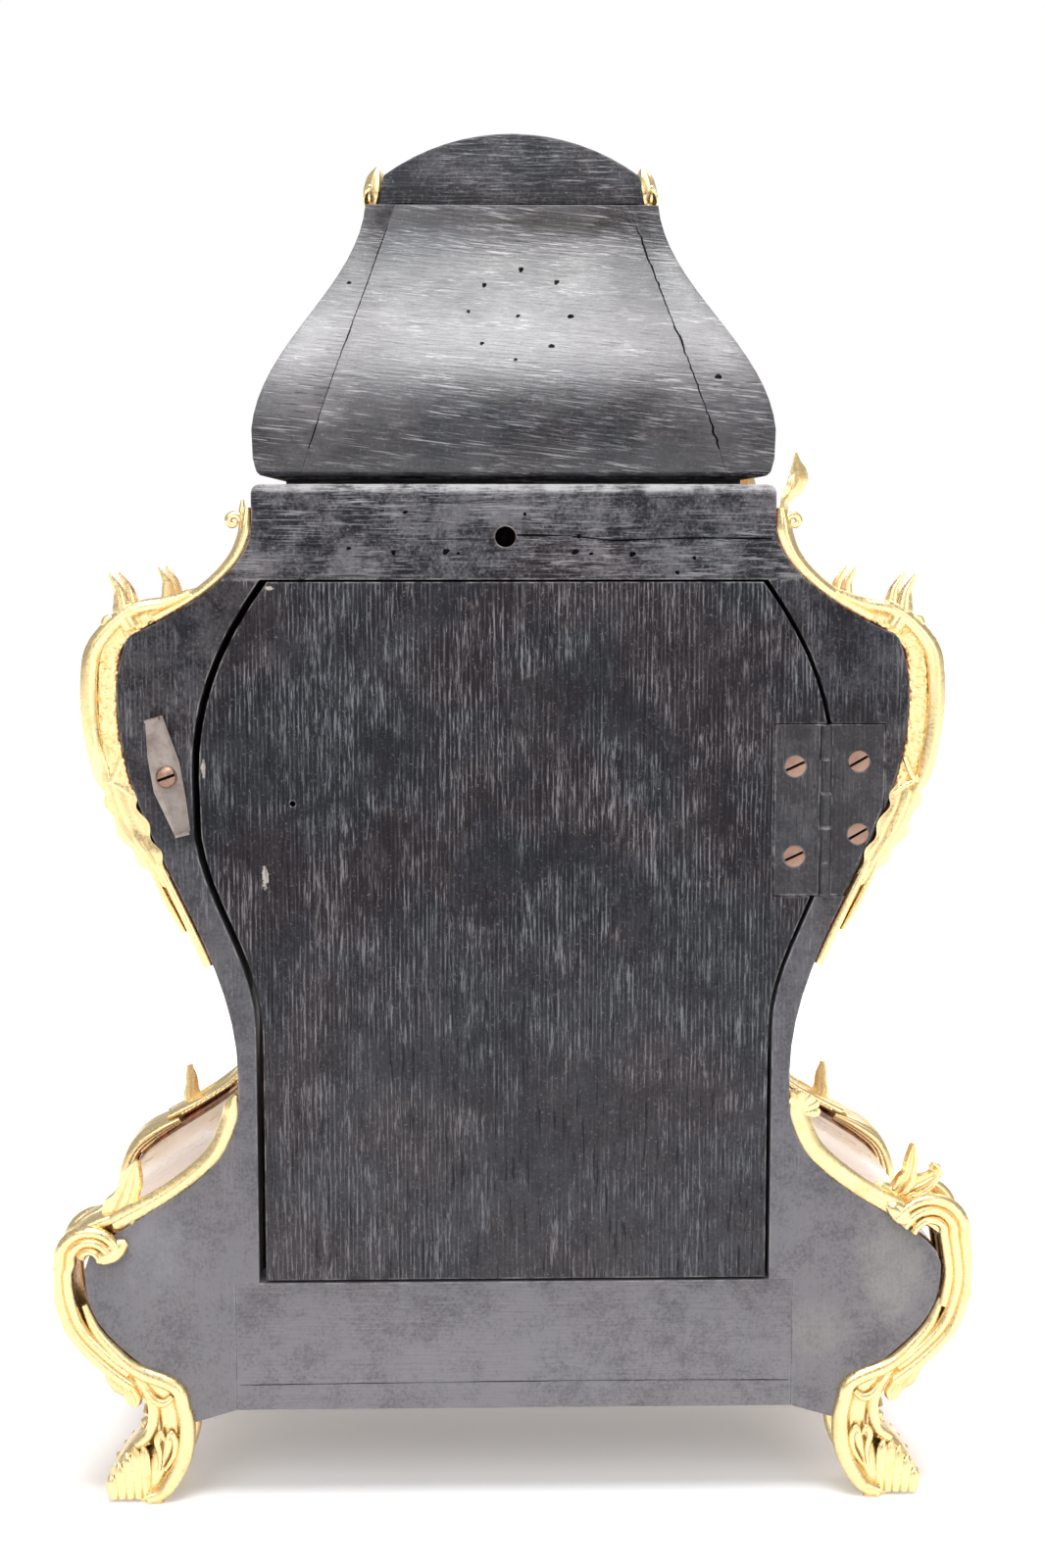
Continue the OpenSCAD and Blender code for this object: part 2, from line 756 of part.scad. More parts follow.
// Twelve enamel plaques with domed faces
module dial_plaques() {
    color("#f4f1e6")
        for (k = [0:11])
            translate([plaque_ring * sin(30 * k), dial_y, dial_z + plaque_ring * cos(30 * k)])
                rotate([90, 0, 0])
                    rotate_extrude()
                        polygon([[0, 0], [plaque_d / 2, 0], [plaque_d / 2, 0.5], [plaque_d / 2 - 1, 0.9],
                            [plaque_d / 4, 1.3], [0, 1.4]]);
}

hour_y = front_y + 15.4;
minute_y = front_y + 12.6;
hand_t = 0.8;
hour_turn = 42;
minute_turn = 144;

// Pierced hand that points up, with its boss at the centre
module hand(l, y, hole, wide) {
    difference() {
        union() {
            along_y(y, y + hand_t)
                polygon(both([[1.2, 0], [wide, l * 0.3], [0.7, l * 0.5], [wide * 0.8, l * 0.68],
                    [0.5, l * 0.8], [0.01, l]]));
            bar_y(0, 0, y, y + hand_t, hole + 4);
        }
        along_y(y - 1, y + hand_t + 1)
            polygon([[0, l * 0.2], [-wide * 0.5, l * 0.3], [0, l * 0.42], [wide * 0.5, l * 0.3]]);
        bar_y(0, 0, y - 1, y + hand_t + 1, hole);
    }
}

module hour_hand() {
    color("#1c2430")
        translate([0, 0, dial_z])
            rotate([0, hour_turn, 0])
                hand(hour_l, hour_y, hour_pipe_d + 0.1, 5);
}

module minute_hand() {
    color("#1c2430")
        translate([0, 0, dial_z])
            rotate([0, minute_turn, 0])
                hand(minute_l, minute_y, centre_d + 0.1, 4);
}

// Toothed ring: pointed teeth on wheels, narrower leaves on pinions
function teeth(n, m, tip, root, w_root, w_tip, turn) = [for (k = [0:n - 1]) each
    let (a = 360 * k / n + turn, p = 360 / n)
        [[m * n / 2 - root, a - p * 0.5], [m * n / 2 - root, a - p * w_root],
            [m * n / 2, a - p * w_root * 0.92], [m * n / 2 + tip, a - p * w_tip],
            [m * n / 2 + tip, a + p * w_tip], [m * n / 2, a + p * w_root * 0.92],
            [m * n / 2 - root, a + p * w_root]]];
function polar(list) = [for (q = list) [q[0] * cos(q[1]), q[0] * sin(q[1])]];

module wheel_teeth_shape(n, m, turn) {
    polygon(polar(teeth(n, m, 0.75 * m, 1.25 * m, 0.22, 0.09, turn)));
}

module pinion_shape(n, m, turn) {
    polygon(polar(teeth(n, m, 0.45 * m, 1.15 * m, 0.16, 0.07, turn)));
}

// Crossed-out wheel in the XZ plane around a point
module wheel(x, z, y, t, n, m, turn, spokes, hub) {
    rim = m * n / 2 - 1.25 * m - 1.4;
    translate([x, 0, z])
        along_y(y, y + t)
            difference() {
                wheel_teeth_shape(n, m, turn);
                difference() {
                    circle(r = rim);
                    circle(r = hub);
                    for (k = [0:spokes - 1])
                        rotate(360 * k / spokes + 45)
                            translate([0, -0.8])
                                square([rim + 1, 1.6]);
                }
            }
}

module pinion(x, z, y, t, n, m, turn) {
    translate([x, 0, z])
        along_y(y, y + t)
            pinion_shape(n, m, turn);
}

// Places of the arbors around the centre of the dial
third_reach = centre_m * (wheel_teeth + 7) / 2;
escape_reach = third_m * (wheel_teeth + 7) / 2;
escape_up = 32;
third_up = (pow(third_reach, 2) - pow(escape_reach, 2) + pow(escape_up, 2)) / (2 * escape_up);
third_x = -sqrt(pow(third_reach, 2) - pow(third_up, 2));
escape_z = dial_z + escape_up;
third_z = dial_z + third_up;
anchor_z = escape_z + escape_d / 2 * 1.41;
motion_reach = 14.4;
motion_z = dial_z + motion_reach;
cannon_m = motion_reach * 2 / 96;
hour_m = motion_reach * 2 / 80;
pivot_d = 1.4;

module plate_holes(y) {
    for (p = [[third_x, third_up], [0, escape_up], [0, anchor_z - dial_z]])
        bar_y(p[0], dial_z + p[1], y - 1, y + plate_t + 1, pivot_d + 2 * pivot_gap);
    bar_y(0, dial_z, y - 1, y + plate_t + 1, centre_d + 2 * pivot_gap);
    for (s = [-1, 1])
        bar_y(s * wind_x, dial_z + wind_z, y - 1, y + plate_t + 1, wind_arbor_d + 2 * pivot_gap);
}

pillar_at = [for (a = [20, 160, 246, 294]) (plate_d / 2 - 6) * [cos(a), sin(a)]];
hammer_x = -30;
hammer_up = -33;
motion_stud_d = 2;

module front_plate() {
    color(BRASS)
        difference() {
            union() {
                bar_y(0, dial_z, plate_y, plate_y + plate_t, plate_d);
                bar_y(0, motion_z, plate_y - 9, plate_y, motion_stud_d);
            }
            plate_holes(plate_y);
        }
}

module back_plate() {
    color(BRASS)
        difference() {
            bar_y(0, dial_z, back_plate_y, back_plate_y + plate_t, plate_d);
            plate_holes(back_plate_y);
            bar_y(hammer_x, dial_z + hammer_up, back_plate_y - 1, back_plate_y + plate_t + 1,
                2 + 2 * pivot_gap);
        }
}

// Turned pillars between the plates
module pillars() {
    color(BRASS)
        for (p = pillar_at)
            translate([p[0], back_plate_y, dial_z + p[1]])
                rotate([90, 0, 0])
                    rotate_extrude()
                        polygon([[0, 0], [3.6, 0], [3.6, 3], [2.4, 4.5], [2.4, plate_gap / 2 - 3],
                            [3.3, plate_gap / 2], [2.4, plate_gap / 2 + 3], [2.4, plate_gap - 4.5],
                            [3.6, plate_gap - 3], [3.6, plate_gap], [0, plate_gap]]);
}

// Brackets that tie the front plate to the back of the dial board
module movement_straps() {
    color(STEEL)
        for (s = [-1, 1])
            block([s > 0 ? plate_d / 2 - 6 : -plate_d / 2 - 16, dial_board_y + dial_board_t, dial_z - 6],
                [s > 0 ? plate_d / 2 + 16 : -plate_d / 2 + 6, plate_y, dial_z + 6]);
}

barrel_y = works_y + 4.5;
barrel_len = 19;

// Spring barrel with its toothed ring at the depth ring_y
module barrel(side, turn, ring_y) {
    r = barrel_m * barrel_teeth / 2;
    color(BRASS)
        difference() {
            union() {
                translate([side * wind_x, 0, dial_z + wind_z])
                    along_y(ring_y, ring_y + 2)
                        wheel_teeth_shape(barrel_teeth, barrel_m, turn);
                bar_y(side * wind_x, dial_z + wind_z, barrel_y, barrel_y + barrel_len, 2 * r - 4);
            }
            bar_y(side * wind_x, dial_z + wind_z, barrel_y + 3.2, barrel_y + barrel_len - 1.2, 2 * r - 7);
            bar_y(side * wind_x, dial_z + wind_z, barrel_y - 1, barrel_y + barrel_len + 1,
                wind_arbor_d + 2 * pivot_gap);
        }
}

// Winding arbor with a hub for the mainspring and a square for the key
module winding_arbor(side) {
    x = side * wind_x;
    z = dial_z + wind_z;
    color(STEEL)
        union() {
            bar_y(x, z, plate_y - 8, back_plate_y + plate_t, wind_arbor_d);
            bar_y(x, z, barrel_y + 4, barrel_y + barrel_len - 2, 12);
            block([x - 1.8, dial_y - 2.4, z - 1.8], [x + 1.8, plate_y - 7, z + 1.8]);
        }
}

module going_barrel() { barrel(1, barrel_phase, barrel_y); }
module strike_barrel() { barrel(-1, 0, barrel_y + barrel_len - 2); }
module going_arbor() { winding_arbor(1); }
module strike_arbor() { winding_arbor(-1); }

// Angles seen from the back of the drawing plane: X to the right and Z up
barrel_dir = atan2(wind_z, wind_x);
barrel_phase = barrel_dir + 180;
centre_pinion_turn = barrel_dir + 180 / 12;
third_dir = atan2(third_up, third_x);
third_pinion_turn = third_dir + 180;
centre_wheel_turn = third_dir + 180 / wheel_teeth;
escape_dir = atan2(escape_up - third_up, -third_x);
third_wheel_turn = escape_dir + 180 / wheel_teeth;
escape_pinion_turn = escape_dir + 180;

module centre_wheel() {
    color(BRASS)
        union() {
            bar_y(0, dial_z, minute_y - 1.6, back_plate_y + plate_t, centre_d);
            pinion(0, dial_z, barrel_y - 1, 4, 12, barrel_m, centre_pinion_turn);
            wheel(0, dial_z, barrel_y + barrel_len + 1.6, 1.4, wheel_teeth, centre_m, centre_wheel_turn,
                4, 4);
            pinion(0, dial_z, plate_y - 4, 3.4, 24, cannon_m, 90 + 180 / 24);
        }
}

third_plane = barrel_y + barrel_len + 6.4;

module third_wheel() {
    color(BRASS)
        union() {
            bar_y(third_x, third_z, plate_y, back_plate_y + plate_t, pivot_d);
            pinion(third_x, third_z, barrel_y + barrel_len + 0.8, 3, 7, centre_m, third_pinion_turn);
            wheel(third_x, third_z, third_plane, 1.2, wheel_teeth, third_m, third_wheel_turn, 4, 3.2);
        }
}

escape_y = works_y + 17;

// Escape wheel with sloping teeth
module escape_wheel() {
    r = escape_d / 2;
    color(BRASS)
        union() {
            bar_y(0, escape_z, plate_y, back_plate_y + plate_t, pivot_d);
            pinion(0, escape_z, third_plane - 0.8, 3, 7, third_m, escape_pinion_turn);
            translate([0, 0, escape_z])
                along_y(escape_y, escape_y + 1.2)
                    difference() {
                        polygon([for (k = [0:escape_teeth - 1]) each
                            let (a = 360 * k / escape_teeth, p = 360 / escape_teeth)
                            [[(r - 1.6) * cos(a), (r - 1.6) * sin(a)],
                                [r * cos(a + p * 0.5), r * sin(a + p * 0.5)],
                                [(r - 1.6) * cos(a + p * 0.6), (r - 1.6) * sin(a + p * 0.6)]]]);
                        difference() {
                            circle(r = r - 3);
                            circle(r = 2.6);
                            for (k = [0:3])
                                rotate(90 * k)
                                    translate([0, -0.6])
                                        square([r - 2, 1.2]);
                        }
                    }
        }
}

// Minute wheel and its pinion, which carry the motion from the centre to the hour wheel
module minute_wheel() {
    color(BRASS)
        difference() {
            union() {
                wheel(0, motion_z, plate_y - 2.6, 1, 72, cannon_m, -90, 4, 3.4);
                pinion(0, motion_z, plate_y - 8, 6, 16, hour_m, -90);
            }
            bar_y(0, motion_z, plate_y - 10, plate_y, motion_stud_d + 2 * pivot_gap);
        }
}

module hour_wheel() {
    color(BRASS)
        difference() {
            union() {
                wheel(0, dial_z, plate_y - 7.4, 1, 64, hour_m, 90 + 180 / 64, 4, 4.4);
                bar_y(0, dial_z, hour_y - 0.6, plate_y - 6.4, hour_pipe_d);
            }
            bar_y(0, dial_z, hour_y - 2, plate_y - 5, centre_d + 2 * pivot_gap);
        }
}

crutch_y = back_plate_y + plate_t + 3;
rod_y = back_plate_y + plate_t + 9;
rod_d = 2;

// Recoil anchor on its arbor, with the crutch behind the back plate
module anchor() {
    r = escape_d / 2;
    drop = anchor_z - escape_z;
    color(STEEL)
        union() {
            bar_y(0, anchor_z, plate_y, crutch_y + 1, pivot_d);
            translate([0, 0, anchor_z])
                along_y(escape_y - 0.4, escape_y + 1.6)
                    union() {
                        circle(r = 2.4);
                        polygon(both([[1.4, -1.8], [r * 0.86 - 0.6, -drop * 0.44],
                            [r * 0.86 + 1.4, -drop * 0.52], [r * 0.86 + 1, -drop * 0.36], [1.6, 1.6]]));
                    }
            bar_y(0, anchor_z, crutch_y - 0.6, crutch_y + 1, 5);
            block([-0.8, crutch_y, anchor_z - 40], [0.8, crutch_y + 1, anchor_z]);
            for (s = [-1, 1])
                block([s * 2.1 - 0.7, crutch_y, anchor_z - 40.8],
                    [s * 2.1 + 0.7, rod_y + 2.4, anchor_z - 39]);
            block([-2.8, crutch_y, anchor_z - 40.8], [2.8, crutch_y + 1, anchor_z - 39]);
        }
}

// Cock that carries the pendulum on two cheeks
module suspension_cock() {
    y0 = back_plate_y + plate_t;
    color(BRASS)
        difference() {
            union() {
                block([-9, y0, anchor_z - 3], [-5, rod_y + 4, anchor_z + 3]);
                block([5, y0, anchor_z - 3], [9, rod_y + 4, anchor_z + 3]);
                block([-9, rod_y - 4, anchor_z + 3], [9, rod_y + 4, anchor_z + 6]);
                block([-1.4, rod_y - 4, anchor_z - 3], [1.4, rod_y - 1.4, anchor_z + 3]);
                block([-1.4, rod_y + 1.4, anchor_z - 3], [1.4, rod_y + 4, anchor_z + 3]);
            }
            bar_y(0, anchor_z, rod_y - 5, rod_y + 5, 1.6 + 2 * pivot_gap);
        }
}

bob_z = anchor_z - pendulum_l;

// Rod with its suspension pin and the rating thread
module pendulum() {
    color(STEEL)
        union() {
            bar_y(0, anchor_z, rod_y - 4, rod_y + 4, 1.6);
            block([-1, rod_y - 0.7, anchor_z - 14], [1, rod_y + 0.7, anchor_z + 1]);
            translate([0, rod_y, bob_z - bob_d / 2 - 9])
                cylinder(h = pendulum_l + bob_d / 2 - 3, d = rod_d);
        }
}

// Lens-shaped bob with its rating nut
module pendulum_bob() {
    color(BRASS)
        union() {
            difference() {
                translate([0, rod_y + 5, bob_z])
                    rotate([90, 0, 0])
                        rotate_extrude()
                            polygon([[0, 0], [bob_d * 0.3, 0.8], [bob_d * 0.45, 3], [bob_d / 2, 4.4],
                                [bob_d / 2, 5.6], [bob_d * 0.45, 7], [bob_d * 0.3, 9.2], [0, 10]]);
                translate([0, rod_y, bob_z - bob_d])
                    cylinder(h = 2 * bob_d, d = rod_d + 0.1);
            }
            difference() {
                translate([0, rod_y, bob_z - bob_d / 2 - 4])
                    cylinder(h = 3.4, d = 7);
                translate([0, rod_y, bob_z - bob_d / 2 - 5])
                    cylinder(h = 6, d = rod_d + 0.1);
            }
        }
}

bell_y = rod_y + 8;
bell_depth = 17;
bell_up = -6;
bell_foot_x = 14;
bell_foot_up = -32;

module bell() {
    r = bell_d / 2;
    color("#cfc6ae")
        translate([0, bell_y, dial_z + bell_up])
            rotate([-90, 0, 0])
                rotate_extrude()
                    polygon([[r, 0], [r - 2, 0], [r - 3.4, 6], [r - 12, bell_depth - 5],
                        [r * 0.3, bell_depth - 2], [2.1, bell_depth - 2], [2.1, bell_depth],
                        [r * 0.3, bell_depth], [r - 10.6, bell_depth - 3.4], [r - 1.6, 7]]);
}

// Post that carries the bell, from a foot low on the back plate
module bell_stand() {
    y0 = back_plate_y + plate_t;
    color(STEEL)
        union() {
            bar_y(bell_foot_x, dial_z + bell_foot_up, y0, bell_y + 5, 6);
            along_y(bell_y + 2, bell_y + 5)
                polygon([[bell_foot_x - 2.8, dial_z + bell_foot_up],
                    [bell_foot_x + 2.8, dial_z + bell_foot_up],
                    [2.6, dial_z + bell_up], [-2.6, dial_z + bell_up]]);
            bar_y(0, dial_z + bell_up, bell_y + 2, bell_y + bell_depth - 2, 8);
            bar_y(0, dial_z + bell_up, bell_y + 2, bell_y + bell_depth + 3, 4);
        }
}

// Hammer that strikes the bell's rim from the side
module hammer() {
    rim = bell_d / 2;
    y0 = back_plate_y + plate_t;
    y1 = bell_y + 5;
    color(STEEL)
        union() {
            bar_y(hammer_x, dial_z + hammer_up, back_plate_y - 6, y0 + 4, 2);
            bar_y(hammer_x, dial_z + hammer_up, y0 + 0.6, y0 + 3.4, 5);
            along_y(y0 + 1, y0 + 3)
                polygon([[hammer_x, dial_z + hammer_up - 1.4], [hammer_x, dial_z + hammer_up + 1.4],
                    [-rim - 7.5, dial_z + bell_up + 9], [-rim - 9.5, dial_z + bell_up + 7]]);
            bar_y(-rim - 8, dial_z + bell_up + 7, y0 + 1, y1, 3);
            translate([-rim - 11, y1 - 2.5, dial_z + bell_up + 7])
                rotate([0, 90, 0])
                    cylinder(h = 10.4, d = 6);
        }
}

// Surface of a bar that follows a path in the XZ plane, as one closed mesh with eight sides.
// Each station is [x, z, half thickness, half depth, y of its middle].
function station_dir(s, i) =
    let (a = s[max(i - 1, 0)], b = s[min(i + 1, len(s) - 1)], t = [b[0] - a[0], b[1] - a[1]])
        [t[1], -t[0]] / norm(t);
function ring(s, i, side, sides) =
    let (n = station_dir(s, i), q = s[i])
        [for (k = [0:sides - 1]) let (a = 360 * (k + 0.5) / sides)
            [side * (q[0] + n[0] * q[2] * cos(a)), q[4] + q[3] * sin(a), q[1] + n[1] * q[2] * cos(a)]];

module swept(s, side = 1, sides = 8) {
    n = len(s);
    points = [for (i = [0:n - 1]) each ring(s, i, side, sides)];
    walls = [for (i = [0:n - 2]) for (k = [0:sides - 1])
        let (a = i * sides + k, b = i * sides + (k + 1) % sides)
            each [[a, b + sides, b], [a, a + sides, b + sides]]];
    last = (n - 1) * sides;
    ends = concat([for (k = [1:sides - 2]) [0, k, k + 1]],
        [for (k = [1:sides - 2]) [last, last + k + 1, last + k]]);
    faces = concat(walls, ends);
    polyhedron(points, side > 0 ? faces : [for (f = faces) [f[0], f[2], f[1]]]);
}

// Stations that lie on the case outline between two places in the list, thick in the middle
function hugging(path, thick, deep, y, from, to) = [for (i = [from:to])
    let (t = (i - from) / (to - from), w = max(0.09, pow(sin(180 * (0.06 + 0.88 * t)), 0.7)),
        n = outward(path, i), h = thick * w / 2, q = path[i] + n * (h + mount_gap))
        [q[0], q[1], h, deep * (0.4 + 0.6 * w) / 2, y]];

upper_path = concat(shoulder_half, [for (i = [0:7]) neck_half[i]]);
lower_path = console_half;
mount_y = back_y + 1.5 - mount_d / 2;
front_mount_y = front_y + back_y - mount_y;
front_foot_y = front_mount_y - apron_bulge;

// Upper corner mount: a band around the shoulder that ends in a leaf at the waist
module upper_mount(side, y) {
    edge_y = y + (y > middle_y ? 1 : -1) * mount_d * 0.3;
    color(GILT)
        union() {
            swept(hugging(upper_path, mount_t, mount_d, y, 3, 21), side);
            swept(hugging(upper_path, mount_t * 0.8, mount_d * 0.35, edge_y, 14, 26), side);
        }
}

// Lower corner mount: a moulding down from the waist, a scroll around the hip and a leg to the toe
toe_mid = (toe_tip_x + toe_w / 2) / 2;
toe_half = (toe_tip_x - toe_w / 2) / 2;
function leg(y) = concat([for (i = [9:-1:1])
    let (h = 5.8 - 0.2 * i, q = console_half[i] + outward(console_half, i) * (h + mount_gap))
        [q[0], q[1], h, 9, y]], [
    [toe_w / 2 + 8.4, toe_z - 2, 7, 9, y],
    [toe_w / 2 + 9.4, toe_z - 8, 7, 9, y],
    [toe_mid - 2.4, 15, toe_half * 0.68, 10, y],
    [toe_mid - 0.6, 9, toe_half * 0.94, 10.5, y],
    [toe_mid - 2, 4, toe_half * 0.85, 10, y],
    [toe_mid - 4, -4, toe_half * 0.6, 9, y]]);

function spiral(x, z, r0, r1, a0, a1, n, h, d, y) = [for (i = [0:n])
    let (t = i / n, r = r0 + (r1 - r0) * t, a = a0 + (a1 - a0) * t)
        [x + r * cos(a), z + r * sin(a), h * (1 - 0.45 * t), d / 2, y]];

module foot_mount(side, y) {
    volute_d = 3;
    edge_y = y + (y > middle_y ? 1 : -1) * mount_d * 0.28;
    volute_y = y > middle_y ? back_y + mount_gap + volute_d / 2
        : front_y - apron_bulge - volute_d / 2 + 0.1;
    color(GILT)
        union() {
            swept(hugging(lower_path, scroll_t, mount_d, y, 7, 19), side);
            swept(hugging(lower_path, rim_t, mount_d * 0.42, edge_y, 13, 26), side);
            swept(spiral(hip_w / 2 + 0.5, hip_z + 5, 9, 4, -60, 250, 12, 2.2, volute_d, volute_y), side);
            bar_y(side * (hip_w / 2 + 5.4), hip_z - 1.6, min(y, volute_y), max(y, volute_y), 4);
            difference() {
                swept(leg(y), side);
                block([-200, -200, -20], [200, 200, 0]);
            }
        }
}

module upper_mount_left() { upper_mount(-1, mount_y); }
module upper_mount_right() { upper_mount(1, mount_y); }
module front_upper_mount_left() { upper_mount(-1, front_mount_y); }
module front_upper_mount_right() { upper_mount(1, front_mount_y); }
module foot_mount_left() { foot_mount(-1, mount_y); }
module foot_mount_right() { foot_mount(1, mount_y); }
module front_foot_left() { foot_mount(-1, front_foot_y); }
module front_foot_right() { foot_mount(1, front_foot_y); }

// Small buds at the two ends of the crest
module crest_mounts() {
    color(GILT)
        for (s = [-1, 1])
            translate([s * (crest_w / 2 + 0.6), middle_y, crest_z])
                difference() {
                    rotate_extrude()
                        polygon([[0, 0], [3.2, 0], [4.4, 2.4], [3.4, 4.6], [5.2, 8], [3.6, 11.6], [0, 14.4]]);
                    block([s > 0 ? -10 : 0.3, -10, -1], [s > 0 ? -0.3 : 10, 10, 20]);
                }
}

// Shell on the middle of the apron: a fan of seven lobes
module apron_mount() {
    z0 = foot_h + apron_tall * 0.31;
    color(GILT)
        for (a = [-60:20:60])
            translate([0, front_y - apron_bulge - shell_lift, z0])
                rotate([0, a, 0])
                    cylinder(h = apron_tall * 0.26, r1 = shell_r / 2, r2 = shell_r);
}

stile_left();
stile_right();
back_top_rail();
back_bottom_rail();
side_left();
side_right();
front_frame();
apron();
base_board();
top_board();
dial_board();
roof_neck();
roof();
crest();
back_door();
hinge_case_leaf();
hinge_door_leaf();
hinge_pin();
hinge_screws_case();
hinge_screws_door();
turn_button();
turn_button_screw();
front_door();
front_glass();
front_hinge_case();
front_hinge_door();
dial_plate();
dial_plaques();
hour_hand();
minute_hand();
front_plate();
back_plate();
pillars();
movement_straps();
going_barrel();
going_arbor();
strike_barrel();
strike_arbor();
centre_wheel();
third_wheel();
escape_wheel();
minute_wheel();
hour_wheel();
anchor();
suspension_cock();
pendulum();
pendulum_bob();
bell();
bell_stand();
hammer();
crest_mounts();
apron_mount();
upper_mount_left();
upper_mount_right();
front_upper_mount_left();
front_upper_mount_right();
foot_mount_left();
foot_mount_right();
front_foot_left();
front_foot_right();
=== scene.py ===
"""Looks of a waisted mantel clock: painted boards, veneer, gilt mounts, dial and hardware."""

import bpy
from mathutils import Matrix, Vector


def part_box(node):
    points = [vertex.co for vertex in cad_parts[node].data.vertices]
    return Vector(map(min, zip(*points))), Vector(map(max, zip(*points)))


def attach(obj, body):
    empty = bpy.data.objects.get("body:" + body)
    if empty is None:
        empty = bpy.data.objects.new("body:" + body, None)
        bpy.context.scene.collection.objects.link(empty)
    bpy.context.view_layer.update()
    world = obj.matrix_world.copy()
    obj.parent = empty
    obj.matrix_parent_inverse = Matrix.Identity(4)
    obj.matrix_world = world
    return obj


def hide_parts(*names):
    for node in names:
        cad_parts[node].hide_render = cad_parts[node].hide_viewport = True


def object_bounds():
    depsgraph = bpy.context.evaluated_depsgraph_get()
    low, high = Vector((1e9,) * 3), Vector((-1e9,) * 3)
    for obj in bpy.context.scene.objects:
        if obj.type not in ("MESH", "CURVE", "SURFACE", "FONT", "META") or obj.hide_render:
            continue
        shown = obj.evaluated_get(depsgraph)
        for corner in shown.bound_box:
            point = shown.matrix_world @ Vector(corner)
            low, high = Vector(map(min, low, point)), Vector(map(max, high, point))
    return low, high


bl_info = {
    "name": "Waisted Mantel Clock",
    "version": (1, 0, 0),
    "blender": (4, 5, 0),
    "location": "View3D > Sidebar > Clock",
    "description": "Dresses the solids of a waisted mantel clock with wood, veneer, gilt mounts and a dial",
    "category": "Object",
}

import math

import bpy
from bpy.props import FloatProperty, FloatVectorProperty, PointerProperty
from bpy.types import Operator, Panel, PropertyGroup
from mathutils import Vector, noise

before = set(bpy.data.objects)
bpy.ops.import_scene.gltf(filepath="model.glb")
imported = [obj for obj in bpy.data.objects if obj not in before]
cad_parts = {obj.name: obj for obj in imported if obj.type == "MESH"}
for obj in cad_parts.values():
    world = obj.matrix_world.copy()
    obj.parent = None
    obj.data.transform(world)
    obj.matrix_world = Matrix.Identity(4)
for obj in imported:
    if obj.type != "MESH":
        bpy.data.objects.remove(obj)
CAD_BOX = [list(corner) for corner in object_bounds()]

MM = 0.001
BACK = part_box("back_door")[1].y / MM
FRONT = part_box("front_frame")[0].y / MM
MIDDLE = (BACK + FRONT) / 2
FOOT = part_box("back_bottom_rail")[0].z / MM
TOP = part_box("back_top_rail")[1].z / MM
RAIL_HOLE = (3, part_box("back_top_rail")[0].z / MM + 14.3)
DIAL = (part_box("dial_plate")[0].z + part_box("dial_plate")[1].z) / 2 / MM
DIAL_R = (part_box("dial_plate")[1].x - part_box("dial_plate")[0].x) / 2 / MM


# Sizes and colours


def length(name, text, value):
    return FloatProperty(name=name, description=text, default=value * MM, unit="LENGTH", precision=4)


def colour(name, text, value):
    return FloatVectorProperty(
        name=name, description=text, default=value, subtype="COLOR", size=3, min=0, max=1
    )


class ClockSizes(PropertyGroup):
    toe_width: length("Toe width", "Width across the points of the stiles", 224)
    hip_width: length("Console width", "Greatest width of the console", 298)
    waist_width: length("Waist width", "Width of the waist", 190)
    shoulder_width: length("Shoulder width", "Greatest width of the shoulder", 268)
    corner_width: length("Corner width", "Width across the corners above the shoulder", 260)
    neck_width: length("Neck width", "Width of the neck", 176)
    eased_edge: length("Eased edge", "Width of the worn rounding on the boards' edges", 0.9)
    nail: length("Nail hole", "Diameter of the old nail holes", 1.3)


class ClockColours(PropertyGroup):
    paint: colour("Black paint", "Old black paint on the back", (0.0105, 0.008, 0.0108))
    worn: colour("Worn paint", "Paint rubbed thin along the grain", (0.205, 0.188, 0.198))
    # Dust, and also painted light: the light reflected from the pale floor low on the case and the sheen on
    # the roof
    dust_and_painted_light: colour("Dusty paint", "Greyed paint low on the case", (0.21, 0.2, 0.215))
    bare: colour("Bare wood", "Wood where the paint is chipped off", (0.4, 0.36, 0.32))
    oak: colour("Raw oak", "Unpainted wood inside the case", (0.2, 0.12, 0.066))
    tulip: colour("Tulipwood", "Pink ground of the veneer", (0.56, 0.33, 0.23))
    # Much paler tulipwood on the console's side
    pale_console: colour("Faded veneer", "Tulipwood bleached on the console", (0.95, 0.78, 0.65))
    king: colour("Kingwood", "Dark stripes and borders of the veneer", (0.13, 0.04, 0.025))
    gilt: colour("Gilding", "Bright gilding of the mounts", (0.87, 0.68, 0.36))
    gilt_deep: colour("Worn gilding", "Gilding in the hollows", (0.6, 0.33, 0.09))
    brass: colour("Brass", "Movement and fittings", (0.78, 0.55, 0.24))
    steel: colour("Steel", "Bare browned steel", (0.3, 0.26, 0.235))
    copper: colour("Screw heads", "Coppery heads of the wood screws", (0.33, 0.21, 0.16))
    enamel: colour("Enamel", "Plaques of the dial", (0.86, 0.85, 0.8))
    ink: colour("Numerals", "Hour marks on the plaques", (0.02, 0.03, 0.13))
    blued: colour("Blued steel", "Hands", (0.03, 0.045, 0.12))


def sizes():
    return bpy.context.scene.clock_sizes


def paints():
    return bpy.context.scene.clock_colours


# Outline of the case


def ease(t, bend=1.0):
    return (1 - math.cos(math.pi * t**bend)) / 2


def rising(z0, z1, a, b, steps):
    """Half widths that go from a to b between two heights."""
    return [(a + (b - a) * ease(i / steps), z0 + (z1 - z0) * i / steps) for i in range(steps)]


def falling(z0, z1, a, b, steps, bend):
    """The same with the bend at the other end."""
    return [(b + (a - b) * ease(1 - i / steps, bend), z0 + (z1 - z0) * i / steps) for i in range(steps)]


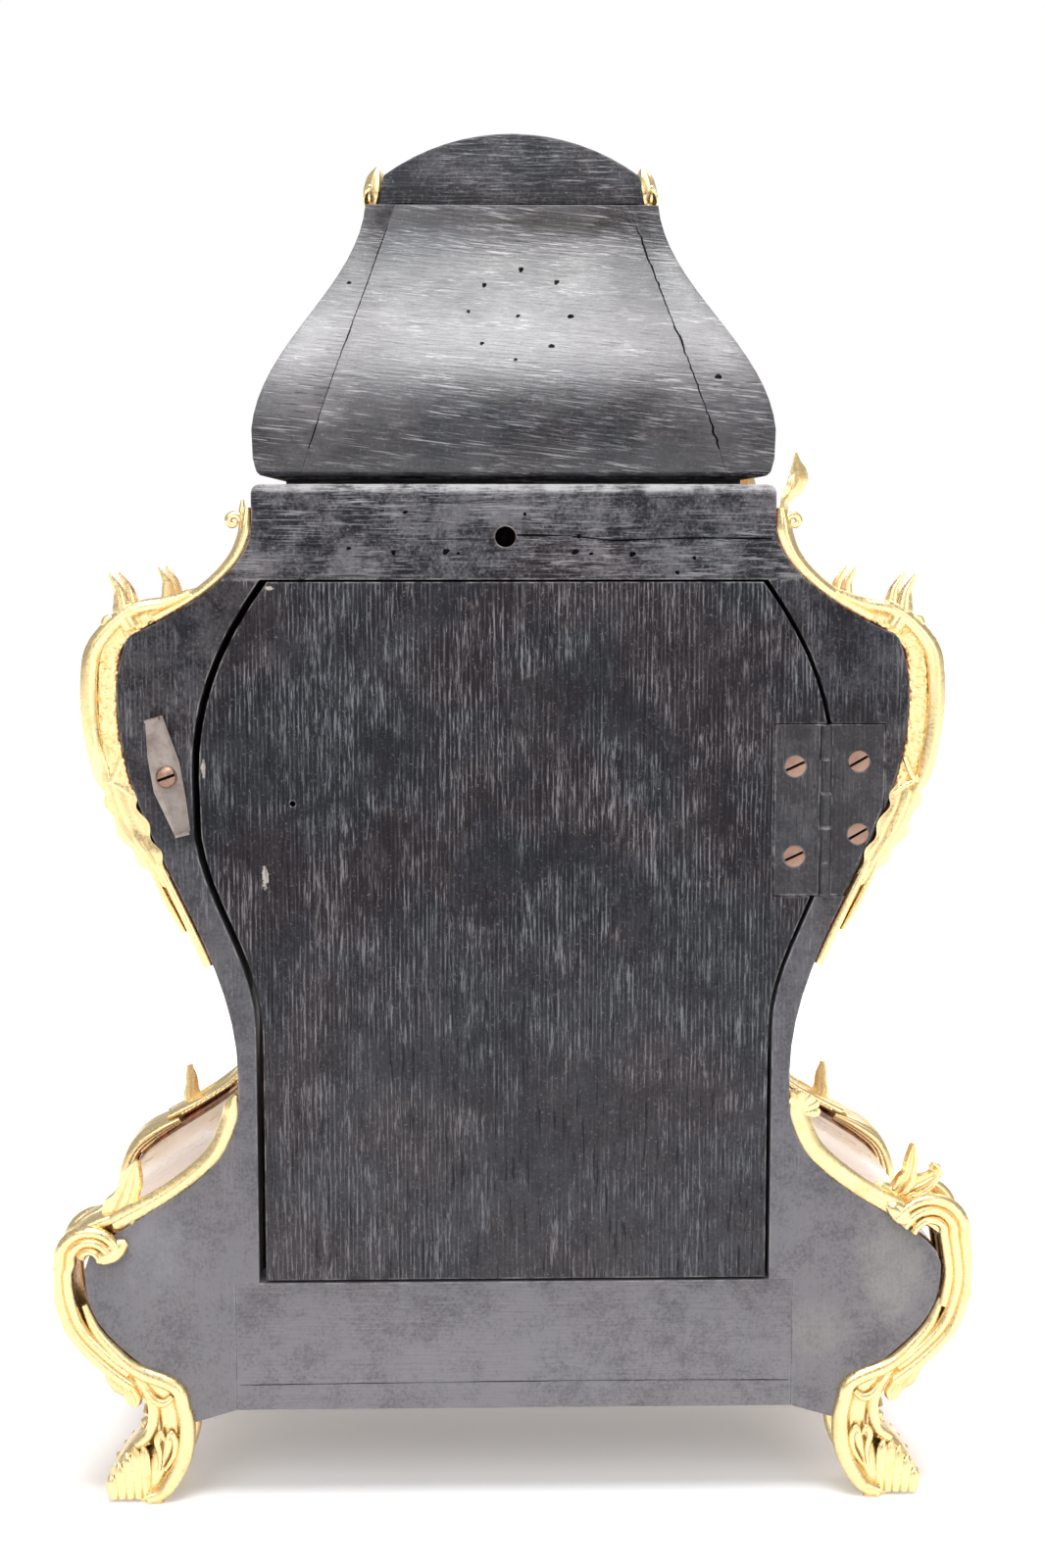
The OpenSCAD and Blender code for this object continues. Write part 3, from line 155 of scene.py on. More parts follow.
def case_outline():
    """Half outline of the case as rows of half width and height: toe 0, hip 12, waist 28, shoulder 42,
    corner 47, neck 55, top 56."""
    s = sizes()
    toe, hip, waist = (w / MM / 2 for w in (s.toe_width, s.hip_width, s.waist_width))
    shoulder, corner, neck = (w / MM / 2 for w in (s.shoulder_width, s.corner_width, s.neck_width))
    hip_z, waist_z, shoulder_z = FOOT + 51, FOOT + 119, FOOT + 249
    corner_z, neck_z = FOOT + 270, FOOT + 308
    rows = falling(FOOT - 4.3, hip_z, toe, hip, 12, 1.4)
    rows += falling(hip_z, waist_z, hip, waist, 16, 1.7)
    rows += rising(waist_z, shoulder_z, waist, shoulder, 14)
    for i in range(5):
        t = i / 5
        rows.append((shoulder - (shoulder - corner) * t**2, shoulder_z + (corner_z - shoulder_z) * i / 5))
    for i in range(9):
        t = 1 - i / 8
        rows.append((neck + (corner - neck) * t * t, neck_z + (corner_z - neck_z) * t))
    rows.append((neck, TOP - 3))
    return rows


def between(rows, t):
    """Smooth in-between of rows of numbers, with t from 0 at the first row to 1 at the last."""
    last = len(rows) - 1
    place = min(max(t, 0), 1) * last
    i = min(int(place), last - 1)
    f = place - i
    near = [rows[min(max(i + k, 0), last)] for k in (-1, 0, 1, 2)]
    return [
        0.5 * (2 * b + (c - a) * f + (2 * a - 5 * b + 4 * c - d) * f * f + (3 * b - a - 3 * c + d) * f**3)
        for a, b, c, d in zip(*near)
    ]


def on_case(station, out, y):
    """Point of the case outline at a station, moved outwards, at a depth y."""
    rows = case_outline_rows
    last = len(rows) - 1
    x, z = between(rows, station / last)
    x0, z0 = between(rows, (station - 0.3) / last)
    x1, z1 = between(rows, (station + 0.3) / last)
    run = Vector((x1 - x0, 0, z1 - z0)).normalized()
    return Vector((x + run.z * out, y, z - run.x * out))


case_outline_rows = []


# Shaping

SEAM, SOLID_SEAM = 2e-6, 1e-5
LINE_LIFT, LINE_WALL = 0.05, 0.04
DIMPLE_LIFT, DIMPLE_WALL = 0.06, 0.05
DEEP = (0, 1, 0)
SIDES = (("left", -1), ("right", 1))
PAINTED = ("case", "black_painted_wood")
INNER = ("case", "inner_wood")
GILT = ("case", "gilt_bronze")
OUTWARDS = (bpy.ops.mesh.normals_make_consistent, {"inside": False})
FLIPPED = (bpy.ops.mesh.flip_normals, {})


def deselect():
    if bpy.context.object and bpy.context.object.mode != "OBJECT":
        bpy.ops.object.mode_set(mode="OBJECT")
    bpy.ops.object.select_all(action="DESELECT")


def take(piece):
    deselect()
    piece.select_set(True)
    bpy.context.view_layer.objects.active = piece


def in_edit(piece, *steps):
    """Runs edit operators on everything in a piece; each step is an operator and its settings."""
    take(piece)
    bpy.ops.object.mode_set(mode="EDIT")
    bpy.ops.mesh.select_mode(type="VERT")
    bpy.ops.mesh.select_all(action="SELECT")
    for operator, settings in steps:
        operator(**settings)
    bpy.ops.object.mode_set(mode="OBJECT")
    return piece


def apply_modifier(piece, kind, **settings):
    take(piece)
    made = piece.modifiers.new(kind.title(), kind)
    for key, value in settings.items():
        setattr(made, key, value)
    bpy.ops.object.modifier_apply(modifier=made.name)
    return piece


def merge(threshold):
    return bpy.ops.mesh.remove_doubles, {"threshold": threshold}


def grid(name, across, along, place):
    """A grid primitive whose points are moved to place(u, v), in millimetres."""
    deselect()
    bpy.ops.mesh.primitive_grid_add(x_subdivisions=across, y_subdivisions=along, size=1)
    piece = bpy.context.object
    piece.name = piece.data.name = name
    for point in piece.data.vertices:
        point.co = Vector(place(point.co.x + 0.5, point.co.y + 0.5)) * MM
    return piece


def close(piece):
    """Merges a rolled grid's seam, fills its ends and turns its faces outwards."""
    return in_edit(piece, merge(SEAM), (bpy.ops.mesh.fill_holes, {"sides": 0}), OUTWARDS)


def thickened(piece, thick, offset=0):
    """Gives a sheet its wall, in millimetres, and closes it."""
    in_edit(piece, OUTWARDS)
    apply_modifier(piece, "SOLIDIFY", thickness=thick * MM, offset=offset)
    return close(piece)


def course(rows, t, step, face):
    """The direction of a path at t, and the face turned square to it."""
    ahead = (Vector(between(rows, t + step)[:3]) - Vector(between(rows, t - step)[:3])).normalized()
    return ahead, (face - ahead * face.dot(ahead)).normalized()


def strand(name, rows, steps, around, lean=DEEP, grooves=0, groove=0.0, square=1.0, beads=0, hammer=0.0):
    """A cast bar along a smooth path. Each row holds the middle, the half size along the lean and the half
    size across it. Grooves run along it, beads cut it into a row of pearls and hammer dents it."""
    lean = Vector(lean)
    rings = []
    for k in range(steps + 1):
        t = k / steps
        row = between(rows, t)
        ahead, first = course(rows, t, 0.01, lean)
        swell = 0.35 + 0.65 * abs(math.sin(math.pi * beads * t)) ** 0.6 if beads else 1
        rings.append((Vector(row[:3]), first, ahead.cross(first), row[3] * swell, row[4] * swell))

    def place(u, v):
        middle, first, second, a, b = rings[min(round(v * steps), steps)]
        angle = 2 * math.pi * u
        c, s = math.cos(angle), math.sin(angle)
        r = 1 + groove * math.cos(grooves * angle)
        c = math.copysign(abs(c) ** square, c)
        s = math.copysign(abs(s) ** square, s)
        off = first * (a * r * c) + second * (b * r * s)
        if hammer:
            off *= 1 + hammer * noise.noise((middle + off) * 1.1) / max(off.length, 1)
        return middle + off

    return close(grid(name, around, steps, place))


def leaf(name, spine, wide, face, lobes, cup, rib, thick, base, across, steps):
    """An acanthus leaf along a spine: lobed edges that lean forwards, a raised midrib and fine veins."""
    face = Vector(face)

    def place(u, v):
        side = 2 * u - 1
        middle = Vector(between(spine, v)[:3])
        ahead, out = course(spine, v, 0.02, face)
        half = wide * max(math.sin(math.pi * (base + (1 - base) * v)), 0.02) ** 0.75
        half *= 1 - 0.3 * (0.5 + 0.5 * math.cos(2 * math.pi * lobes * v)) * abs(side)
        lift = cup * half * side * side + rib * math.exp(-((side / 0.16) ** 2)) * (1 - 0.7 * v)
        lift += 0.16 * math.cos(3.5 * math.pi * side) * (1 - v)
        forward = ahead * (abs(side) ** 1.5 * half * 0.35)
        return middle + ahead.cross(out) * (side * half) + out * lift + forward

    return thickened(grid(name, across, steps, place), thick, -1)


def shell(name, at, up, face, radius, spread, lobes, thick):
    """A fan of fluted lobes with a scalloped rim."""
    up, face, at = Vector(up).normalized(), Vector(face).normalized(), Vector(at)
    across = up.cross(face)

    def place(u, v):
        angle = math.radians(spread) * (2 * u - 1)
        lobe = abs(math.sin(math.pi * lobes * u))
        r = radius * (0.08 + 0.92 * v) * (1 - 0.14 * v * (1 - lobe) - 0.12 * v * (2 * u - 1) ** 2)
        lift = 0.1 * radius * math.sin(math.pi * (0.1 + 0.75 * v)) + 0.09 * radius * v * lobe
        return at + up * (r * math.cos(angle)) + across * (r * math.sin(angle)) + face * lift

    return thickened(grid(name, lobes * 8, 12, place), thick)


def curl(centre, r0, r1, a0, a1, size, steps, y):
    """Rows of a scroll in the XZ plane that winds from radius r0 to r1, thinner towards its eye."""
    rows = []
    for i in range(steps + 1):
        t = i / steps
        r, a = r0 + (r1 - r0) * t, math.radians(a0 + (a1 - a0) * t)
        x, z = centre[0] + r * math.cos(a), centre[1] + r * math.sin(a)
        rows.append((x, y, z, size, size * (1 - 0.35 * t)))
    return rows


def joined(name, pieces):
    deselect()
    for piece in pieces:
        piece.select_set(True)
    bpy.context.view_layer.objects.active = pieces[0]
    bpy.ops.object.join()
    made = bpy.context.object
    made.name = made.data.name = name
    return made


def copied(pattern, name):
    take(pattern)
    bpy.ops.object.duplicate()
    piece = bpy.context.object
    piece.name = piece.data.name = name
    return piece


def board(node, name):
    """A copy of a solid as a piece of its own, with its flat faces made whole again."""
    piece = copied(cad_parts[node], name)
    for key in [k for k in piece.keys() if k.startswith("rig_")]:
        del piece[key]
    piece.parent = None
    piece.data.materials.clear()
    flat = (bpy.ops.mesh.dissolve_limited, {"angle_limit": math.radians(0.5)})
    return in_edit(piece, merge(SOLID_SEAM), OUTWARDS, flat)


def ease_edges(piece, width=None, angle=32):
    """Rounds a board's edges as wear leaves them; the width is in millimetres."""
    return apply_modifier(
        piece, "BEVEL", width=width * MM if width else sizes().eased_edge, segments=3, limit_method="ANGLE",
        angle_limit=math.radians(angle), use_clamp_overlap=True,
    )


def set_board(node, name, width, finish, place, **more):
    """A solid's own shape with its edges eased, in its place on a body; the slot in that place is not used.
    """
    put(ease_edges(board(node, name), width), finish, *place, node, **more)


def nail_holes(name, holes, face):
    """Old nail holes drawn as dark discs of painted shade on the surface: a place in X and Z and a share of
    the usual diameter. The face gives the depth of the surface at a height."""
    made = []
    for x, z, share in holes:
        deselect()
        bpy.ops.mesh.primitive_circle_add(vertices=12, radius=sizes().nail / 2 * share, fill_type="NGON")
        disc = bpy.context.object
        for i, point in enumerate(disc.data.vertices):
            wide = 1 + 0.22 * math.sin(5 * i + x)
            px, pz = x + point.co.x / MM * wide * 1.2, z + point.co.y / MM * wide
            point.co = Vector((px, face(pz) + DIMPLE_LIFT, pz)) * MM
        made.append(disc)
    put(thickened(joined(name, made), DIMPLE_WALL), "gap", *PAINTED)


def open_line(name, path, wide, face, jag, steps=60):
    """A thin dark line on a board, for a crack or an open joint, with its wanderings."""

    def place(u, v):
        x, z = between(path, v)
        half = wide / 2 * (0.6 + 0.4 * math.sin(23 * v) * math.sin(7 * v + 1))
        x += jag * noise.noise(Vector((0, z * 0.5, x * 0.1)))
        z += 0.4 * jag * noise.noise(Vector((x * 0.5, 3, 0)))
        flat = abs(path[-1][0] - path[0][0]) > abs(path[-1][1] - path[0][1])
        x, z = (x, z + (2 * u - 1) * half) if flat else (x + (2 * u - 1) * half, z)
        return (x, face(z) + LINE_LIFT, z)

    put(thickened(grid(name, 1, steps, place), LINE_WALL), "gap", *PAINTED)


def put(piece, finish, body, slot, *nodes, smooth=40, second=None, where=None):
    """Gives a piece its finish and body, and hides the solids that it stands for. The slot is not used. A
    second finish goes on the faces for which where(centre, normal) is true."""
    piece.data.materials.clear()
    piece.data.materials.append(finish_of(finish))
    if second:
        piece.data.materials.append(finish_of(second))
        for face in piece.data.polygons:
            face.material_index = 1 if where(face.center / MM, face.normal) else 0
    take(piece)
    bpy.ops.object.shade_smooth_by_angle(angle=math.radians(smooth))
    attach(piece, body)
    if nodes:
        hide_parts(*nodes)


def dress(finish, *nodes):
    """Gives a finish to solids that stay as they are."""
    for node in nodes:
        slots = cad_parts[node].data.materials
        slots.clear()
        slots.append(finish_of(finish))


# Finishes


class Nodes:
    """A tree of shader nodes."""

    def __init__(self, tree):
        self.tree = tree

    def link(self, node, key, value):
        if isinstance(value, bpy.types.NodeSocket):
            self.tree.links.new(value, node.inputs[key])
        else:
            node.inputs[key].default_value = value

    def add(self, kind, inputs=None, **settings):
        node = self.tree.nodes.new(kind)
        for key, value in settings.items():
            setattr(node, key, value)
        for key, value in (inputs or {}).items():
            self.link(node, key, value)
        return node

    def maths(self, operation, a, b=0.0):
        return self.add("ShaderNodeMath", {0: a, 1: b}, operation=operation).outputs[0]


class Finish(Nodes):
    """A material and the nodes that paint it, on object coordinates. Its tone is the colour so far."""

    def __init__(self, name, rough=0.5, metal=0.0):
        self.material = bpy.data.materials.new(name)
        self.material.use_nodes = True
        super().__init__(self.material.node_tree)
        self.shader = self.tree.nodes["Principled BSDF"]
        self.set("Roughness", rough)
        self.set("Metallic", metal)
        self.place = self.add("ShaderNodeTexCoord").outputs["Object"]
        self.tone = None

    def set(self, key, value):
        self.link(self.shader, key, value)

    def stretch(self, scale, turn=(0, 0, 0), shift=(0, 0, 0)):
        turn = [math.radians(a) for a in turn]
        mapped = {"Vector": self.place, "Scale": scale, "Rotation": turn, "Location": shift}
        return self.add("ShaderNodeMapping", mapped).outputs[0]

    def noise(self, scale, detail, rough, vector=None, twist=0.0):
        pattern = {"Scale": scale, "Detail": detail, "Roughness": rough, "Distortion": twist}
        return self.add("ShaderNodeTexNoise", {"Vector": vector or self.place, **pattern}).outputs["Fac"]

    def level(self, value, low, high, to_low=0.0, to_high=1.0):
        return self.add(
            "ShaderNodeMapRange", {0: value, 1: low, 2: high, 3: to_low, 4: to_high},
            interpolation_type="SMOOTHSTEP",
        ).outputs[0]

    def times(self, value, *others):
        for other in others:
            value = self.maths("MULTIPLY", value, other)
        return value

    def plus(self, a, b):
        return self.maths("ADD", a, b)

    def vector_maths(self, operation, *vectors):
        return self.add("ShaderNodeVectorMath", dict(enumerate(vectors)), operation=operation).outputs

    def length_of(self, vector):
        return self.vector_maths("LENGTH", vector)["Value"]

    def mix(self, share, a, b):
        def rgba(c):
            return c if isinstance(c, bpy.types.NodeSocket) else (*c, 1)

        mixed = {0: share, 6: rgba(a), 7: rgba(b)}
        return self.add("ShaderNodeMix", mixed, data_type="RGBA", clamp_factor=True).outputs[2]

    def lay(self, coat, *shares):
        """Lays a colour over the tone, by the product of its shares."""
        self.tone = self.mix(self.times(*shares), self.tone, coat)

    def axes(self):
        return self.add("ShaderNodeSeparateXYZ", {0: self.place}).outputs

    def bump(self, height, strength, distance):
        made = self.add("ShaderNodeBump", {"Height": height, "Strength": strength, "Distance": distance * MM})
        self.set("Normal", made.outputs[0])

    def edges(self, radius):
        """1 along the outer edges of a piece, 0 on its faces."""
        round_normal = self.add("ShaderNodeBevel", {"Radius": radius * MM}, samples=4).outputs[0]
        true_normal = self.add("ShaderNodeNewGeometry").outputs["Normal"]
        return self.level(self.vector_maths("DOT_PRODUCT", round_normal, true_normal)["Value"], 0.985, 0.86)

    def ragged(self, x, z, wide, tall, grain, rough, fray):
        """Distance from the middle of a patch on a board, 1 at its rim, plus the noise that frays the rim."""
        flat = self.stretch((1 / wide / MM, 0, 1 / tall / MM), shift=(-x / wide, 0, -z / tall))
        return self.plus(self.length_of(flat), self.times(self.noise(grain, 5, rough), fray))

    def spot(self, *place):
        """1 inside a chipped spot: place in X and Z, half width and half height."""
        return self.level(self.ragged(*place, 380, 0.75, 2.4), 2.1, 1.75)

    def patch(self, *place):
        """1 in the middle of a broad patch that fades out unevenly."""
        return self.level(self.ragged(*place, 130, 0.7, 1.6), 1.95, 1.2)

    def done(self):
        self.set("Base Color", self.tone)
        return self.material


COOL_PAINT = (0.008, 0.0088, 0.0125)
COOL_WORN = (0.172, 0.18, 0.2)
PORE = (0.003, 0.003, 0.004)
STREAK = (0.4, 0.39, 0.4)
PAINTED_EDGE_HIGHLIGHT = (0.5, 0.49, 0.5)
SCUFF = (0.3, 0.29, 0.29)
RUBBED_EDGE = (0.4, 0.39, 0.38)
OAK_PORE = (0.05, 0.028, 0.016)
BOX_LINE = (0.62, 0.43, 0.2)
ORANGE_GOLD = (0.86, 0.5, 0.17)
DARK_GOLD = (0.22, 0.12, 0.04)
DIAL_STAIN = (0.45, 0.25, 0.08)
OLD_ENAMEL = (0.8, 0.78, 0.7)
ENAMEL_PIT = (0.35, 0.3, 0.25)


def shaded(base, share):
    return [min(v * share, 1) for v in base]


def painted(
    name, lengthwise="Z", dusty=0.0, rub=0.6, lines=0.5, pits=0.7, spots=(), low=None, gloss=0.0, shine=0.15,
    worn_edge=0.8, relief=0.4, lean=0.0, streaks=0.0, patches=(), band=None,
):
    """Old black paint over open oak grain, rubbed grey along the grain and the edges. Low greys the paint
    towards the bottom, partly dust and partly painted light reflected from the pale floor, and on the roof
    makes a band that is partly dust and partly a painted sheen: it gives the height where it begins, the
    height where it is full, its share, and a height where it ends again. A patch is a place, a half width and
    height, a colour and a share;
    a band is a painted highlight of a rounded edge, broken like rubbed paint, between two heights."""
    c = paints()
    f = Finish(name)
    f.set("Specular IOR Level", shine)
    upright = lengthwise == "Z"
    straight = f.place
    if lean:
        f.place = f.stretch((1, 1, 1), turn=(0, lean, 0))

    def along(wide, run):
        return f.stretch((wide, wide, run) if upright else (run, wide, wide))

    def grain(wide, run, detail, rough, twist=0.0):
        return f.noise(1, detail, rough, along(wide, run), twist)

    wave = f.add(
        "ShaderNodeTexWave",
        {
            "Vector": along(205, 13 if upright else 34), "Scale": 1.0, "Distortion": 7.0 if upright else 13.0,
            "Detail": 4.0, "Detail Scale": 0.7, "Detail Roughness": 0.6,
        },
        bands_direction="X" if upright else "Z",
    ).outputs["Fac"]
    hairs = grain(1500, 120, 3, 0.75)
    pores = grain(900, 55, 4, 0.65, 0.3)
    figure = grain(230, 11, 3, 0.55, 0.5)
    if streaks:
        strokes = grain(1900, 60, 2, 0.55, 0.25)
        gate = grain(150, 30, 3, 0.6)
    f.place = straight
    tint = f.noise(24, 3, 0.6)
    cloud = f.noise(15, 4, 0.62)
    smudge = f.noise(34, 5, 0.6, twist=0.6)
    patch = f.noise(60, 5, 0.72)
    speck = f.noise(1000, 3, 0.7)
    # Ground: black with brownish and bluish clouds, greyer where it is dusty
    cool = f.level(tint, 0.4, 0.6)
    f.tone = f.mix(cool, c.paint, COOL_PAINT)
    pale = f.mix(cool, c.worn, COOL_WORN)
    f.lay(c.dust_and_painted_light, f.level(f.plus(patch, f.times(speck, 0.5)), 0.62, 0.95), 0.04 + 0.45 * dusty)
    # Paler towards the bottom: partly dust and partly painted light reflected from the pale floor; on the
    # roof the same mask makes a band that is partly dust and partly a painted sheen
    if low:
        start, full, share, *end = low
        height = f.axes()[2]
        mottle = f.level(f.plus(patch, f.times(speck, 0.9)), 0.62, 1.08, 0.56, 1.0)
        fade = f.times(f.level(height, start * MM, full * MM), mottle)
        for z in end:
            wavy = f.plus(height, f.times(smudge, 0.03))
            fade = f.times(fade, f.level(wavy, (z + 22) * MM, (z + 8) * MM))
        f.lay(c.dust_and_painted_light, fade, share)
    for *place, coat, share in patches:
        f.lay(coat, f.patch(*place), share)
    # Pale lines and hairs where the paint has worn off the hard stripes of the grain, but for dark smudges
    where = f.level(smudge, 0.38, 0.56, 0.12, 1.0)
    f.lay(pale, f.level(wave, 0.6, 0.96), f.level(hairs, 0.4, 0.6, 0.1, 1.0), where, lines)
    f.lay(pale, f.level(f.plus(hairs, f.times(figure, 0.35)), 0.72, 0.86), where, rub)
    f.lay(pale, f.level(speck, 0.6, 0.72), 0.6 * rub)
    f.lay(PORE, f.level(pores, 0.43, 0.36), pits)
    if streaks:
        f.lay(STREAK, f.level(strokes, 0.56, 0.64), f.level(gate, 0.46, 0.6), streaks)
    # A painted highlight of a rounded edge between two heights, broken like rubbed paint
    if band:
        bottom, top, share = band
        height = f.axes()[2]
        f.lay(
            PAINTED_EDGE_HIGHLIGHT,
            f.level(height, (bottom - 1) * MM, (bottom + 1) * MM),
            f.level(height, (top + 1) * MM, (top - 1) * MM),
            f.level(f.plus(patch, f.times(hairs, 0.5)), 0.58, 0.86, 0.1, share),
        )
    f.lay(SCUFF, f.level(f.noise(90, 6, 0.8, twist=1.2), 0.64, 0.72), f.level(cloud, 0.5, 0.62), 0.5)
    f.lay(RUBBED_EDGE, f.edges(1.1), f.level(f.noise(190, 4, 0.65), 0.4, 0.62), worn_edge)
    for spot in spots:
        f.lay(c.bare, f.spot(*spot), f.level(hairs, 0.3, 0.5, 0.5, 1.0))
    f.set("Roughness", f.level(f.plus(patch, hairs), 0.7, 1.3, 0.44 - gloss, 0.66 - gloss))
    f.bump(f.plus(pores, f.times(wave, relief)), 0.5, 0.3)
    return f.done()


def raw_oak():
    """Unpainted oak inside the case."""
    c = paints()
    f = Finish("raw_oak", rough=0.7)
    hairs = f.noise(1, 4, 0.6, f.stretch((900, 900, 45)))
    rings = f.noise(1, 3, 0.5, f.stretch((170, 170, 9)), twist=0.4)
    f.tone = f.mix(f.level(rings, 0.3, 0.7), shaded(c.oak, 0.55), shaded(c.oak, 1.35))
    f.lay(OAK_PORE, f.level(hairs, 0.48, 0.34), 0.7)
    f.bump(hairs, 0.4, 0.3)
    return f.done()


def veneered(name, lie="side"):
    """Tulipwood with a dark kingwood border and a fine line between them, under old wax. On the console's
    side it is much paler."""
    c = paints()
    f = Finish(name)
    x, y, z = f.axes()
    across = {"side": (30, 190, 14), "front": (190, 30, 14), "roof": (190, 190, 14)}[lie]
    stripes = f.noise(1, 4, 0.6, f.stretch(across), twist=0.5)
    hairs = f.noise(1, 3, 0.6, f.stretch([v * 6 for v in across]))
    f.tone = f.mix(f.level(stripes, 0.42, 0.6), shaded(c.tulip, 1.25), c.tulip)
    # Much paler on the console's side
    if lie == "side":
        f.lay(c.pale_console, f.level(z, 0.08, 0.09), f.level(z, 0.16, 0.146), 0.92)
    f.lay(c.king, f.level(stripes, 0.58, 0.66), 0.25)
    cross = f.noise(1, 4, 0.6, f.stretch((24, 24, 420)), twist=0.4)
    border_tone = f.mix(f.level(cross, 0.38, 0.6), shaded(c.king, 2.6), c.king)
    if lie == "side":
        distance = f.maths("ABSOLUTE", f.maths("SUBTRACT", y, MIDDLE * MM))
        edge = ((BACK - FRONT) / 2 - 21) * MM
    else:
        distance = f.maths("ABSOLUTE", x)
        edge = 0.112
    border = f.level(distance, edge - 0.0001, edge + 0.0001)
    line = f.level(f.maths("ABSOLUTE", f.maths("SUBTRACT", distance, edge)), 0.0007, 0.0005)
    f.lay(border_tone, border)
    f.lay(BOX_LINE, line)
    f.lay(shaded(c.king, 0.5), f.level(hairs, 0.46, 0.34), 0.3)
    f.set("Roughness", f.level(f.noise(60, 4, 0.6), 0.3, 0.7, 0.22, 0.42))
    f.set("Coat Weight", 0.3)
    f.set("Coat Roughness", 0.15)
    f.bump(hairs, 0.15, 0.1)
    return f.done()


def gilded(name, matted=False):
    """Mercury gilding: bright on the high places, deep orange in the hollows, chased all over."""
    c = paints()
    f = Finish(name, metal=1.0)
    heights = f.level(f.add("ShaderNodeNewGeometry").outputs["Pointiness"], 0.44, 0.54)
    patina = f.noise(130, 5, 0.65)
    grain = f.noise(900, 3, 0.6)
    f.tone = c.gilt
    f.lay(c.gilt_deep, f.level(heights, 0.75, 0.15), f.level(patina, 0.3, 0.62, 0.35, 1.0))
    f.lay(ORANGE_GOLD, f.level(patina, 0.54, 0.7), 0.5)
    f.lay(DARK_GOLD, f.level(f.noise(320, 4, 0.7), 0.66, 0.76), 0.4)
    if matted:
        cells = f.add("ShaderNodeTexVoronoi", {"Vector": f.place, "Scale": 620.0}).outputs["Distance"]
        f.set("Roughness", f.level(cells, 0.1, 0.7, 0.34, 0.6))
        f.bump(cells, 1.0, 0.7)
    else:
        f.set("Roughness", f.level(f.plus(patina, grain), 0.7, 1.3, 0.2, 0.44))
        f.bump(f.plus(grain, f.times(patina, 1.2)), 0.22, 0.25)
    return f.done()


def metal(name, base, dark, rough, brushed, pits=0.5):
    """Worked metal with fine strokes, stains and a darker bloom."""
    f = Finish(name, metal=1.0)
    strokes = f.noise(1, 3, 0.6, f.stretch(brushed))
    stain = f.noise(140, 5, 0.7)
    f.tone = base
    f.lay(dark, f.level(stain, 0.42, 0.68), pits)
    f.lay(shaded(base, 1.35), f.level(strokes, 0.5, 0.7), 0.25)
    f.set("Roughness", f.level(f.plus(strokes, stain), 0.7, 1.3, rough * 0.75, rough * 1.4))
    f.bump(f.plus(strokes, stain), 0.15, 0.12)
    return f.done()


def enamelled():
    """White enamel, clouded and finely pitted with age."""
    f = Finish("white_enamel", rough=0.12)
    cloud = f.noise(90, 3, 0.5)
    specks = f.level(f.noise(1400, 2, 0.5), 0.72, 0.78)
    f.tone = f.mix(f.level(cloud, 0.3, 0.7), paints().enamel, OLD_ENAMEL)
    f.lay(ENAMEL_PIT, specks, 0.5)
    f.set("Roughness", f.level(cloud, 0.3, 0.7, 0.08, 0.2))
    f.bump(cloud, 0.08, 0.3)
    return f.done()


def engraved():
    """Gilt dial ground with rays and rings cut round its centre."""
    c = paints()
    f = Finish("engraved_dial", metal=1.0)
    centred = f.vector_maths("SUBTRACT", f.place, (0, 0, DIAL * MM))[0]
    x, y, z = f.add("ShaderNodeSeparateXYZ", {0: centred}).outputs
    angle = f.maths("ARCTAN2", x, z)
    far = f.length_of(centred)
    rays = f.maths("SINE", f.times(angle, 72.0))
    rings = f.plus(f.times(far, 2600.0), f.times(f.maths("SINE", f.times(angle, 12.0)), 3.0))
    cut = f.times(rays, f.maths("SINE", rings))
    patina = f.noise(150, 5, 0.6)
    f.tone = f.mix(f.level(cut, 0.9, -0.9), c.gilt, c.gilt_deep)
    f.lay(DIAL_STAIN, f.level(patina, 0.5, 0.7), 0.5)
    f.set("Roughness", f.level(patina, 0.3, 0.7, 0.26, 0.46))
    f.bump(cut, 0.35, 0.25)
    return f.done()


def glazed():
    """Thin old glass, hardly seen, with a slow wave in it."""
    f = Finish("old_glass", rough=0.03)
    f.tone = (0.92, 0.96, 0.95, 1)
    f.set("Alpha", 0.06)
    f.bump(f.noise(24, 2, 0.4), 0.05, 0.4)
    return f.done()


finishes = {}


